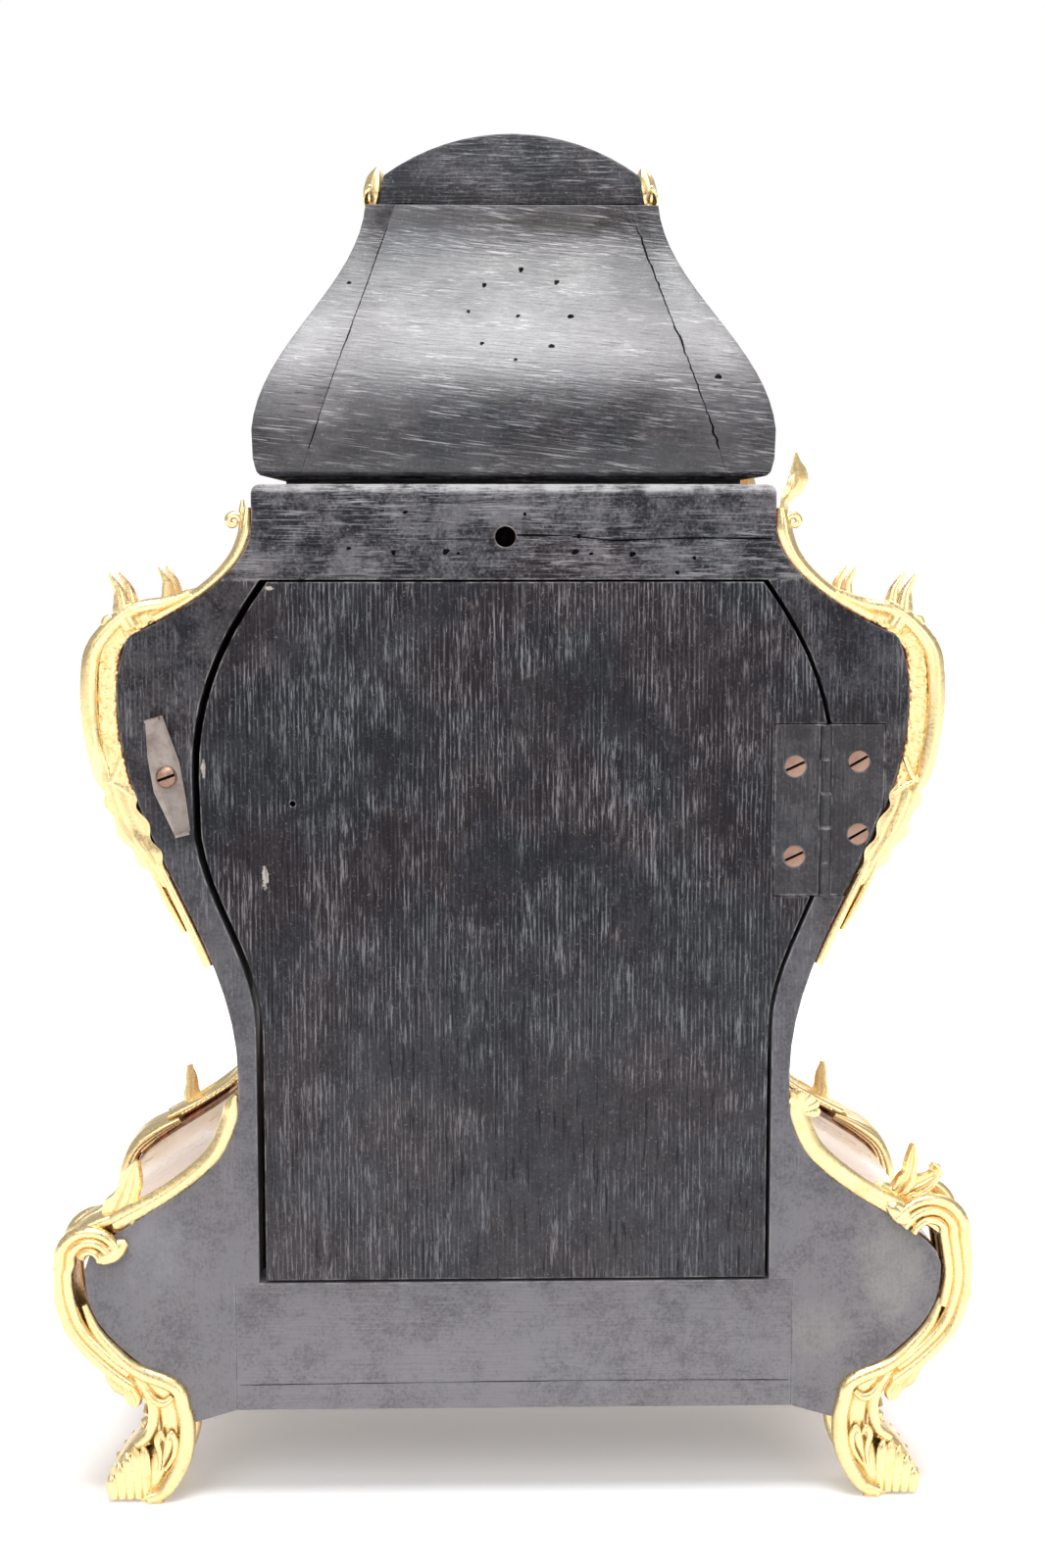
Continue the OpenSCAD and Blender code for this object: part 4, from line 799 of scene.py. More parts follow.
def finish_of(key):
    """Each finish is made once, the first time that a piece asks for it."""
    c = paints()
    makers = {
        # Low on the door, the stiles and the bottom rail pales the paint towards the bottom: dust and painted
        # light from the pale floor
        "door": lambda: painted(
            "paint_door", rub=0.8, lines=0.5, dusty=0.06, low=(240, 90, 0.14), relief=0.25,
            spots=((84.8, 221.5, 1.3, 4.6), (105.2, 259, 0.9, 4.4), (82, 319.6, 2.2, 1.0)),
        ),
        "stile": lambda: painted(
            "paint_stile", rub=0.6, lines=0.2, pits=0.07, dusty=0.4, low=(300, 20, 0.97), relief=0.2,
            patches=(
                (-132, 84, 15, 24, (0.42, 0.4, 0.36), 0.26),
                (125, 95, 13, 20, (0.3, 0.3, 0.33), 0.3),
                (-104, 60, 16, 12, (0.34, 0.31, 0.28), 0.25),
            ),
        ),
        # The rail's band is a painted highlight along its rounded top edge, broken like rubbed paint
        "rail": lambda: painted(
            "paint_rail", "X", rub=1.0, lines=0.4, dusty=1.05, worn_edge=1.0, streaks=0.35, relief=0.25,
            band=(351.8, 356, 0.75),
        ),
        "low_rail": lambda: painted(
            "paint_low_rail", "X", rub=0.5, lines=0.2, pits=0.12, dusty=0.7, low=(130, 40, 1.0)
        ),
        # The roof's low band is pale, partly dust and partly a painted sheen on the cove of the roof
        "roof": lambda: painted(
            "paint_roof", "X", rub=0.75, lines=0.2, dusty=0.14, low=(378, 402, 0.38, 412), gloss=0.2,
            shine=0.58, worn_edge=0.1, relief=0.06, lean=7.0, streaks=0.5,
            patches=(
                (30, 437, 19, 8, (0.012, 0.016, 0.024), 0.75),
                (-14, 445, 34, 5, (0.014, 0.009, 0.009), 0.9),
                (-30, 436, 16, 4, (0.1, 0.095, 0.105), 0.4),
                (-70, 384, 16, 24, (0.1, 0.09, 0.1), 0.35),
                (70, 386, 16, 22, (0.14, 0.13, 0.14), 0.5),
            ),
        ),
        "crest": lambda: painted("paint_crest", "X", rub=0.9, lines=0.3, dusty=0.5, shine=0.3),
        "plain": lambda: painted("paint_plain", "X", rub=0.2),
        # Dark joints and cracks, and painted shade in the nail holes, in the rail's hole and at the bottoms
        # of the screw slots
        "gap": lambda: metal("dark_gap_and_painted_shade", (0.008, 0.007, 0.007), (0.004, 0.004, 0.004), 0.7, (400, 400, 400)),
        "hinge": lambda: painted("paint_hinge", rub=0.3, lines=0.1, dusty=0.3, shine=0.4, worn_edge=1.0),
        "oak": raw_oak,
        "side": lambda: veneered("veneer_side"),
        "front": lambda: veneered("veneer_front", "front"),
        "roof_sides": lambda: veneered("veneer_roof", "roof"),
        "gilt": lambda: gilded("gilt_burnished"),
        "matted": lambda: gilded("gilt_matted", True),
        "brass": lambda: metal("clock_brass", c.brass, (0.36, 0.21, 0.08), 0.28, (60, 60, 900), 0.35),
        "steel": lambda: metal("browned_steel", c.steel, (0.17, 0.12, 0.1), 0.42, (90, 90, 700), 0.6),
        "bright_steel": lambda: metal(
            "bright_steel", (0.52, 0.52, 0.53), (0.25, 0.23, 0.21), 0.25, (900, 60, 60), 0.3
        ),
        "copper": lambda: metal("screw_copper", c.copper, (0.22, 0.12, 0.09), 0.45, (500, 500, 500), 0.6),
        "bell": lambda: metal("bell_metal", (0.72, 0.6, 0.4), (0.35, 0.27, 0.14), 0.22, (300, 300, 300), 0.3),
        "blued": lambda: metal("blued_steel", c.blued, (0.02, 0.02, 0.05), 0.25, (300, 300, 300)),
        "enamel": enamelled,
        "dial": engraved,
        "glass": glazed,
        "ink": lambda: metal("numeral_enamel", c.ink, (0.01, 0.01, 0.03), 0.3, (300, 300, 300), 0.4),
    }
    if key not in finishes:
        finishes[key] = makers[key]()
    return finishes[key]


# Gilt castings


def on_outline(places, y):
    """Points at a depth y from pairs of station on the case's outline and distance out."""
    return [tuple(on_case(station, out, y)) for station, out in places]


def at_depth(y, *places):
    """Points or rows of a bar at one depth."""
    return [(x, y, *rest) for x, *rest in places]


def sized(points, halves, deep=None):
    """Rows of a bar from its points and half sizes, round unless its half size along the lean is given."""
    return [(*point, half if deep is None else deep, half) for point, half in zip(points, halves)]


class Casting:
    """The parts of a mount, each cast at its place and then joined."""

    def __init__(self):
        self.parts = []

    def bar(self, *how, **settings):
        self.parts.append(strand(*how, **settings))

    def ridge(self, name, rows, y, *how, **settings):
        """A bar along the case's outline, from rows of station, distance out, half height and half width."""
        self.bar(name, [(*on_case(s, out, y), deep, half) for s, out, deep, half in rows], *how, **settings)

    def leaf(self, *how):
        self.parts.append(leaf(*how))

    def shell(self, *how):
        self.parts.append(shell(*how))

    def joined(self, name):
        return joined(name, self.parts)


# How far the rear castings stand behind the boards, in millimetres
PROUD = 1.2


def upper_mount():
    """Right rear corner mount of the shoulder: rims and leaves joined, with the matted ground apart."""
    rear = BACK + PROUD
    ground = Casting()
    ground.ridge("ground", (
        (38.4, 2.6, 11.2, 2.6), (39.3, 3.3, 11.4, 3.5), (41, 3.5, 11.4, 3.9), (44, 3.5, 11.4, 3.9),
        (46.4, 3.4, 11.4, 3.7), (47.6, 2.7, 11.2, 2.9), (48.6, 1.6, 11, 1.7),
    ), rear - 12.4, 210, 64, square=0.35, hammer=0.45)
    cast = Casting()
    for y, sign in ((rear - 1.6, 1), (rear - 22, -1)):
        cast.ridge("rim", (
            (38.8, 7.6, 2.0, 1.7), (39.6, 8.8, 2.7, 2.7), (41.2, 9.2, 2.8, 2.9), (43.6, 9.5, 2.8, 2.9),
            (46, 9.1, 2.7, 2.8), (47.4, 7.2, 2.6, 2.4), (48.5, 4.8, 2.3, 1.9), (49.6, 3.0, 2.0, 1.3),
        ), y, 110, 24, grooves=5, groove=0.03)
        for turn, path in (
            (1, ((39.9, 0.9), (39.5, 3.4), (39.2, 6.4), (39.3, 9.6))),
            (-1, ((38.5, 0.9), (38.9, 3.6), (39.2, 6.6), (39.8, 9.2))),
        ):
            ribbon = [(station, out, 1.3, 1.1) for station, out in path]
            cast.ridge("ribbon", ribbon, y + (0.7 + 0.3 * turn) * sign, 30, 10)
        spine = [
            tuple(on_case(station, out, y + deep * sign)) for station, out, deep in
            ((39.1, 5.0, 0.6), (38.2, 5.4, 1.1), (37, 4.6, 1.2), (36, 3.3, 1.0), (35.2, 2.6, 0.4))
        ]
        cast.leaf("hanging_leaf", spine, 6.0, (0.1, sign, 0), 4, -0.12, 0.7, 1.2, 0.34, 14, 40)
        for rows in (
            ((36.1, 1.9, 3.4, 1.6), (35, 1.9, 3.4, 1.7), (33.6, 1.9, 3.3, 1.7), (32.5, 1.8, 3.0, 1.7),
             (32.2, 1.8, 2.6, 1.5)),
            ((36.2, 5.0, 3.0, 1.0), (35, 5.2, 3.0, 1.3), (34.2, 4.9, 2.8, 1.2), (33.6, 4.4, 2.2, 0.8)),
        ):
            cast.ridge("tail_bar", rows, y - 2.0 * sign, 44, 16, square=0.7)
        crown = [(x, y + 0.4 * sign, z, half * 0.55, half) for x, z, half in (
            (128.6, 306.4, 3.0), (131.2, 311, 3.2), (131.8, 315, 2.5), (132.6, 319, 1.7), (135.6, 324.4, 0.4),
        )]
        cast.bar("corner_leaf", crown, 34, 14, grooves=3, groove=0.12)
        roll = curl((135.4, 308.2), 2.4, 0.9, -70, 260, 1.2, 12, y + 0.6 * sign)
        cast.bar("corner_roll", roll, 30, 10)
    body = (
        (39.0, 5.2, 10.6, 4.6), (38.3, 5.3, 10.8, 5.0), (37.3, 4.6, 10.6, 4.3), (36.3, 3.4, 10.0, 3.1),
        (35.4, 2.9, 9.4, 2.5),
    )
    cast.ridge("hanging_body", body, rear - 12.4, 70, 40, square=0.5, hammer=0.5)
    for places, wide in (
        (((47.4, 9.6), (45, 11.2), (42, 11.4), (40, 10.6)), 6.4),
        (((38.8, 10.0), (37.6, 9.0), (36.6, 6.8), (35.6, 5.0)), 5.4),
    ):
        middle = on_outline([(station, out - 0.6) for station, out in places], rear - 12)
        cast.leaf("flank_leaf", middle, wide, (1, 0, 0), 5, 0.25, 0.7, 1.1, 0.3, 14, 40)
    return cast.joined("upper_bright"), ground.parts[0]


def shoulder_trim(tall):
    """Thin moulding from the corner up to the neck, with a curl at its end and a tall bud or a short one."""
    rear = BACK + 0.6
    cast = Casting()
    bold = 1.3 if tall else 1.0
    moulding = [(station, out * bold, deep, half * bold) for station, out, deep, half in (
        (48.0, 1.7, 2.2, 1.7), (49.5, 1.5, 2.4, 1.6), (51, 1.6, 2.5, 1.7), (52.5, 1.8, 2.6, 1.9),
        (54, 2.0, 2.7, 2.1), (55, 1.9, 2.5, 2.0), (55.5, 1.4, 1.6, 1.2),
    )]
    for y, sign in ((rear - 1.9, 1), (2 * MIDDLE - rear + 1.9, -1)):
        cast.ridge("shoulder_moulding", moulding, y, 64, 18, grooves=4, groove=0.07)
        x, _, z = on_case(54.9, 2.4, y)
        cast.bar("end_curl", curl((x + 3.6, z + 1.2), 2.8, 0.8, 200, -150, 1.5, 12, y), 34, 12)
        if not tall:
            stem = ((x, y, z), (x + 0.6, y, z + 4), (x + 0.4, y, z + 8.4))
            cast.bar("short_stem", sized(stem, (1.5, 1.2, 0.5)), 20, 10)
            continue
        stem = (
            (x - 0.4, y, z - 2), (x, y, z + 4), (x + 0.8, y, z + 9), (x + 4.0, y, z + 13.4),
            (x + 4.8, y, z + 17), (x + 4.2, y, z + 21), (x + 4.0, y, z + 24),
        )
        cast.bar("bud", sized(stem, (1.9, 1.4, 1.5, 3.0, 3.0, 1.4, 0.4)), 40, 16, grooves=5, groove=0.13)
        cup = [(x + dx, y + dy * sign, z + dz) for dx, dy, dz in (
            (0.6, 0.8, 8), (2.6, 2.6, 12.5), (3.4, 2.4, 17),
        )]
        cast.leaf("bud_cup", cup, 2.6, (0, sign, 0), 2, -0.2, 0.4, 0.9, 0.3, 8, 18)
    return cast.joined("shoulder_trim")


# Leaves over the console: points in X and Z and a width, for each kind of foot mount
SPRAYS = {
    "front": (
        (((128.5, 103.5), (129.6, 109), (129.8, 114.5), (130.6, 120.5)), 2.8),
        (((133, 100.5), (128, 105.5), (123, 109.5), (118.5, 113)), 2.6),
    ),
    "raised": (
        (((133.5, 109), (137.0, 114), (138.2, 119.6), (138.8, 127)), 3.4),
        (((137, 109.5), (143.0, 112.6), (147, 116.4), (145.6, 119.6)), 3.2),
    ),
    "low": ((((139.4, 97), (136.4, 105), (133.4, 113.4), (130.6, 122.6)), 6.4),),
}


def foot_mount(raised, front=False):
    """Right rear corner mount of the console. The raised one hooks higher. The front ones run into the
    console moulding without a hook."""
    rear = BACK + PROUD
    kind = "front" if front else "raised" if raised else "low"
    bold = {"front": 0.75, "raised": 1.18, "low": 1.0}[kind]
    cast = Casting()

    def slim(station):
        return max(0.5, 1 - 0.08 * max(station - 6, 0)) if front else 1

    moulding = [(station, out * bold, deep, half * bold) for station, out, deep, half in (
        (26.5, 0.8, 2.0, 1.0), (25.6, 2.2, 2.7, 2.4), (24, 2.6, 2.9, 2.9), (21, 2.6, 2.9, 2.9),
        (18, 2.7, 2.9, 2.9), (15.2, 3.4, 2.9, 3.2),
    )]
    cast.ridge("console_moulding", moulding, rear - 2.6, 90, 26, grooves=5, groove=0.04)
    web = ((26.2, 0.8, 5.0, 0.8), (24, 1.7, 6.4, 1.7), (19, 1.8, 6.4, 1.8), (15.4, 2.6, 6.2, 2.4))
    cast.ridge("console_web", web, rear - 8.4, 60, 20, square=0.5)
    bead = ((25.6, 1.5, 1.0, 1.0), (22, 1.5, 1.0, 1.0), (19, 1.6, 1.0, 1.0), (16, 2.0, 1.0, 1.0))
    cast.ridge("console_bead", bead, rear - 15.4, 110, 8, beads=34)
    if kind == "raised":
        place = on_case(24.6, 3.0, rear - 1.6)
        cast.shell("waist_shell", place, (0.5, 0, 0.87), (0.15, 1, 0.2), 7.6, 70, 5, 1.4)
    for points, wide in SPRAYS[kind]:
        spine = [(x, rear - 4.0 + 0.7 * i, z) for i, (x, z) in enumerate(points)]
        cast.leaf("spray", spine, wide, (0.2, 1, 0.2), 2, 0.16, 0.5, 1.8, 0.45, 12, 28)
    (hook_x, hook_z), spread = ((146.0, 95.6), 4.0) if raised else ((146.6, 87.6), 0.0)
    for y, sign in ((rear - 1.5, 1), (rear - 22.4, -1)):
        for out, radius, half, end, low in (
            (9.2, 11.0, 2.4, 158, 4.3), (5.9, 7.4, 2.2, 166, 4.8), (2.7, 3.9, 1.9, 176, 9.0)
        ):
            inner = low == 9.0 and not raised
            rows = [] if inner else [
                (*on_case(s, (out - 0.35 * abs(8 - s) * (s < 8)) * slim(s), y), half * 1.25, half)
                for s in (low, *(v for v in (6, 8, 10, 11.6) if v > low))
            ]
            if front:
                rows += [(*on_case(station, lift, y), w * 1.2, w) for station, lift, w in (
                    (13.2, out * 0.4, half * 0.9), (14.8, out * 0.3, half * 0.7),
                    (16.0, out * 0.2, half * 0.4),
                )]
            else:
                first = 20 if inner else -8
                for i in range(9):
                    t = i / 8
                    r = radius + spread * t * t - 0.5 * t
                    a = math.radians(first + (end - first) * t)
                    w = half * (1 - 0.25 * t)
                    x, z = hook_x + r * math.cos(a), hook_z + r * math.sin(a)
                    rows.append((x, y + 2.2 * sign * ease(t), z, w * 1.2, w))
            cast.bar("scroll_ridge", rows, 110, 14)
        if not front:
            nose = [
                (hook_x - x - spread, y + 1.9 * sign, hook_z + z + 0.9 * spread, a, b) for x, z, a, b in
                ((12.6, 7.0, 0.6, 1.2), (10.6, 5.8, 2.0, 2.8), (7.6, 3.4, 2.4, 3.6), (4.6, 1.4, 2.2, 2.6),
                 (2.6, 0.8, 1.0, 1.2))
            ]
            cast.bar("nose", nose, 24, 16)
        lug = on_outline(((5.6, 8.4), (4.7, 9.6), (3.9, 11.4), (3.5, 13.4)), y + 0.4 * sign)
        cast.leaf("lug", lug, 4.0, (0.1, sign, 0), 2, 0.2, 0.6, 1.8, 0.45, 8, 16)
    band = [(station, out * slim(station), deep, half) for station, out, deep, half in (
        (15.4, 4.6, 10.4, 2.2), (14, 6.6, 10.8, 3.0), (12.6, 7.3, 11, 3.0), (11, 7.1, 11, 2.9),
        (9, 6.9, 11, 2.6), (7, 6.9, 11, 2.5), (5, 6.6, 11, 2.4), (3.8, 5.2, 10.4, 2.4),
    )]
    cast.ridge("scroll_band", band, rear - 12, 80, 24, square=0.45)
    places = ((5.6, 8.6), (8.5, 9.4), (11, 10.0), (13, 10.0), (14.8, 8.6))
    flank = on_outline([(station, out * slim(station)) for station, out in places], rear - 12)
    cast.leaf("hip_leaf", flank, 6.8, (1, 0, 0), 5, 0.25, 0.7, 1.0, 0.3, 14, 40)
    leg(cast, rear - 11.6)
    return cast.joined("foot_bright")


def leg(cast, y):
    """Cabriole leg: a waisted body, a smooth bar down the back of the knee, a heart of leaves and a fluted
    toe."""
    body = at_depth(
        y, (132.0, 50, 3.6, 9.6), (127.0, 45, 4.6, 10.4), (122.6, 38, 5.4, 10.2), (120.6, 29, 5.6, 9.6),
        (121.4, 21, 5.4, 9.4), (125.0, 13.5, 6.4, 10), (128.0, 7, 7.2, 10.2), (128.6, 1.0, 6.6, 9.6),
    )
    cast.bar("leg_body", body, 64, 24, (1, 0, 0), square=0.7)
    for dy, sign in ((9.6, 1), (-9.6, -1)):
        at = y + dy

        def near(*places):
            """Points beside the leg's face, from X, distance out of the face and Z."""
            return [(x, at + out * sign, z) for x, out, z in places]

        bar = [
            (*on_case(station, out, at + 0.6 * sign), half, half)
            for station, out, half in ((9.4, 1.6, 1.2), (7.6, 2.1, 1.9), (6, 2.5, 2.3), (4.6, 2.6, 2.6))
        ]
        bar += at_depth(
            at + 0.4 * sign, (118.4, 42.0, 2.9, 2.8), (115.8, 35, 2.9, 2.9), (114.5, 27.8, 2.9, 3.0),
            (115.4, 18.0, 2.9, 3.0), (119.2, 9.6, 2.9, 3.0), (123.4, 4.0, 2.9, 2.7), (128.6, 2.3, 2.9, 1.9),
        )
        cast.bar("knee_bar", bar, 110, 18)
        shin_edge = at_depth(
            at, (134.0, 48, 1.6, 1.8), (129.2, 42, 1.7, 1.9), (126.4, 35.6, 1.8, 2.0), (126.4, 29, 1.8, 2.0),
            (128.6, 24.0, 1.8, 1.9), (132.6, 21.0, 1.6, 1.6),
        )
        cast.bar("shin_edge", shin_edge, 50, 14)
        fold = near((119.4, 1.0, 38.6), (122.4, 1.6, 36.4), (125.6, 1.4, 37.6), (128.4, 0.6, 41.6))
        cast.bar("knee_fold", sized(fold, (1.0, 1.5, 1.4, 0.8), 1.0), 26, 10)
        for turn in (1, -1):
            lobe = near(
                (123.4 + 1.0 * turn, 1.0, 12.0), (121.6 + 2.4 * turn, 1.4, 17.4),
                (121.8 + 3.2 * turn, 1.5, 22.6), (122.0 + 1.8 * turn, 1.4, 25.4),
                (122.0 + 0.6 * turn, 1.0, 23.0),
            )
            cast.bar("heart", sized(lobe, (0.7, 1.0, 1.2, 1.1, 0.7), 0.8), 34, 10)
        for k, top in enumerate((20.4, 20.0, 17.6, 14.0, 9.6)):
            x = 129.4 + 2.9 * k
            low, middle = (x - 0.5, 0.2, 1.6), (x - 0.2, 1.0, top * 0.5)
            flute = near(low, middle, (x + 0.2, 0.9, top * 0.85), (x + 0.8, -0.4, top))
            cast.bar("toe_flute", sized(flute, (1.5, 1.9, 1.8, 0.7), 1.0), 22, 10)
    crest = at_depth(
        y, (128.0, 21.5, 9.2, 2.0), (133.0, 18.6, 9.2, 2.2), (137.4, 13.6, 9.0, 2.1), (140.8, 8.2, 8.2, 1.7),
        (142.6, 5.0, 6.8, 0.9),
    )
    cast.bar("toe_crest", crest, 40, 28, grooves=5, groove=0.05, square=0.6)
    shin = at_depth(y, (131.4, 44), (128.4, 35), (128.2, 28), (131.0, 23))
    cast.leaf("shin_leaf", shin, 7.0, (1, 0, 0.3), 4, 0.2, 0.8, 1.2, 0.3, 14, 32)
    toe = at_depth(y, (128, 7, 6.4, 10), (133, 7.4, 5.6, 9.6), (138.5, 6.4, 4.4, 8.6), (142.4, 5.2, 2.6, 6.8))
    cast.bar("toe_body", toe, 24, 20, (0, 0, 1), square=0.7)


class CLOCK_OT_outline(Operator):
    """Work out the outline of the case that the mounts and the boards follow"""

    bl_idname = "clock.outline"
    bl_label = "Case Outline"

    def execute(self, context):
        case_outline_rows.clear()
        case_outline_rows.extend(case_outline())
        return {"FINISHED"}


class CLOCK_OT_back_boards(Operator):
    """Make the painted boards of the back, with eased edges, nail holes drawn as painted shade and the crack
    in the rail
    """

    bl_idname = "clock.back_boards"
    bl_label = "Back Boards"

    def execute(self, context):
        for side, sign in SIDES:
            node = f"stile_{side}"
            set_board(
                node, f"{node}_board", 0.45, "stile", PAINTED, second="side",
                where=lambda c, n, sign=sign: n.x * sign > 0.25 and abs(n.y) < 0.3 and c.z > FOOT + 20,
            )
        set_board(
            "back_top_rail", "top_rail_board", 2.2, "rail", PAINTED, second="side",
            where=lambda c, n: abs(n.x) > 0.6,
        )
        holes = [
            (36.5, 345.0, 1), (-3.5, 344.3, 0.8), (-21.6, 337.0, 1.1), (55.5, 333.0, 1), (40.5, 331.5, 1.1),
            (23.0, 331.9, 1.5), (18.8, 331.3, 0.8), (-20.4, 331.8, 1.5), (-25.8, 331.2, 0.9),
            (-39.6, 331.0, 1.4), (-60.5, 329.7, 0.9), (-54.8, 324.8, 1),
        ]
        # The nail holes, and the disc set inside the rail's hole, are painted shade
        nail_holes("rail_nail_hole_shade", holes, lambda z: BACK)
        nail_holes("rail_hole_shade", [(*RAIL_HOLE, 7)], lambda z: BACK - 6)
        set_board("back_bottom_rail", "bottom_rail_board", 0.4, "low_rail", PAINTED)
        door = ease_edges(self.planed(board("back_door", "back_door_board")))
        put(door, "door", "door", "black_painted_wood", "back_door")
        crack = [
            (-0.8, 337.4), (-14, 337.2), (-24, 336.6), (-33, 335.6), (-44, 336.0), (-60, 336.4), (-76, 336.3),
            (-86.5, 336.2),
        ]
        open_line("rail_crack", crack, 0.8, lambda z: BACK, 0.3)
        joint = [(-96, FOOT + 9.4), (-30, FOOT + 9.8), (40, FOOT + 9.5), (96, FOOT + 9.2)]
        open_line("bottom_rail_joint", joint, 0.3, lambda z: BACK, 0.3)
        return {"FINISHED"}

    def planed(self, door):
        """The door, planed on its lock side so that the gap there stands open as it does on the old one."""
        lock_side, shaving = 60 * MM, 1.0 * MM
        for point in door.data.vertices:
            if point.co.x > lock_side:
                point.co.x -= shaving
        return door


class CLOCK_OT_carcase(Operator):
    """Make the veneered sides, the front frame, the swelling apron and the inner boards"""

    bl_idname = "clock.carcase"
    bl_label = "Carcase"

    def execute(self, context):
        for side, sign in SIDES:
            node = f"side_{side}"
            set_board(
                node, f"{node}_board", 0.3, "oak", INNER, second="side",
                where=lambda c, n, sign=sign: n.x * sign > 0.2 and abs(n.y) < 0.3 and self.outside(c),
            )
        for node in ("front_frame", "apron"):
            set_board(node, f"{node}_board", None, "front", INNER)
        dress("oak", "base_board", "top_board", "dial_board")
        return {"FINISHED"}

    def outside(self, centre):
        """Whether a face lies on the outer surface of the case."""
        wall = 4.5
        near = min(case_outline_rows, key=lambda row: abs(row[1] - centre.z))
        return abs(centre.x) > near[0] - wall


class CLOCK_OT_roof(Operator):
    """Make the roof block in its three joined pieces, the arched crest and the neck piece"""

    bl_idname = "clock.roof"
    bl_label = "Roof"

    joint_x, joint_z, joint_lean = 55.8, 405, 0.33

    def execute(self, context):
        pieces = []
        for key, cuts in (("left", (-1,)), ("right", (1,)), ("middle", (-1, 1))):
            piece = board("roof", f"roof_{key}")
            for side in cuts:
                self.saw(piece, side, keep_outer=key != "middle")
            pieces.append(ease_edges(piece, 0.2, 30))
        for piece, node in zip(pieces, ((), (), ("roof",))):
            put(
                piece, "roof_sides", *PAINTED, *node, second="roof", smooth=30,
                where=lambda c, n: n.y > 0.05 or abs(n.z) > 0.8 or abs(abs(c.x) - self.joint(c.z)) < 1.0,
            )
        holes = [
            (-2.9, 428, 1.2), (-15, 423.5, 1.2), (9.8, 422.4, 1.1), (15.2, 412.9, 0.8), (-1.6, 411.4, 0.9),
            (-19.5, 411.3, 1.3), (10.7, 401.7, 0.9), (-12.8, 400.8, 1.2), (-0.6, 396.1, 0.8),
            (-68.7, 390.3, 1.4), (56, 423.2, 0.9),
        ]
        face = self.back_of_roof()
        # The roof's nail holes are dark discs of painted shade
        nail_holes("roof_nail_hole_shade", holes, face)
        for side, sign, wide, jag in (("left", -1, 0.75, 0.7), ("right", 1, 0.4, 0.4)):
            path = [(sign * self.joint(z), z) for z in range(366, 450, 7)]
            open_line(f"roof_joint_{side}", path, wide, face, jag, 90)
        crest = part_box("crest")
        path = [(x, crest[0].z / MM + 0.7) for x in (-44, -20, 0, 18, 44)]
        open_line("crest_joint", path, 0.7, lambda z: crest[1].y / MM, 0.5)
        set_board("crest", "crest_block", 0.7, "crest", PAINTED)
        set_board("roof_neck", "neck_piece", 0.3, "plain", PAINTED)
        return {"FINISHED"}

    def joint(self, z):
        """Distance of the two joints from the middle at a height; they lean in towards the top."""
        return self.joint_x - self.joint_lean * (z - self.joint_z)

    def back_of_roof(self):
        """Depth of the roof's back face at a height, in millimetres."""
        deepest = {}
        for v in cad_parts["roof"].data.vertices:
            z = round(v.co.z / MM, 2)
            deepest[z] = max(deepest.get(z, 0), v.co.y / MM)
        heights = sorted(deepest)

        def face(z):
            above = next((i for i, h in enumerate(heights) if h >= z), len(heights) - 1)
            h0, h1 = heights[max(above - 1, 0)], heights[above]
            share = (z - h0) / (h1 - h0) if h1 > h0 else 0
            return deepest[h0] + (deepest[h1] - deepest[h0]) * share

        return face

    def saw(self, piece, sign, keep_outer):
        """Cuts along one of the two joints."""
        cut = {
            "plane_co": Vector((sign * self.joint_x * MM, 0, self.joint_z * MM)),
            "plane_no": Vector((sign, 0, self.joint_lean)).normalized(),
            "use_fill": True, "clear_inner": keep_outer, "clear_outer": not keep_outer,
        }
        in_edit(piece, (bpy.ops.mesh.bisect, cut), (bpy.ops.mesh.select_all, {"action": "SELECT"}), OUTWARDS)


class CLOCK_OT_hardware(Operator):
    """Finish the butt hinge, its screws and the turn button"""

    bl_idname = "clock.hardware"
    bl_label = "Hinge and Turn Button"

    def execute(self, context):
        for node, body in (("hinge_case_leaf", "case"), ("hinge_door_leaf", "door")):
            set_board(node, f"{node}_plate", 0.15, "hinge", (body, "steel_work"), smooth=30)
        screws = (("hinge_screws_case", "case"), ("hinge_screws_door", "door"), ("turn_button_screw", "case"))
        for node, body in screws:
            piece = ease_edges(board(node, f"{node}_heads"), 0.08)
            top = max(v.co.y for v in piece.data.vertices) / MM
            # The bottoms of the screw slots take the dark finish: painted shade in the slots
            put(
                piece, "copper", body, "screw_metal", node, smooth=30, second="gap",
                where=lambda c, n, top=top: n.y > 0.9 and top - 2.4 < c.y < top - 0.3,
            )
        set_board("turn_button", "turn_button_plate", 0.18, "steel", ("button", "steel_work"), smooth=30)
        dress("hinge", "hinge_pin")
        return {"FINISHED"}


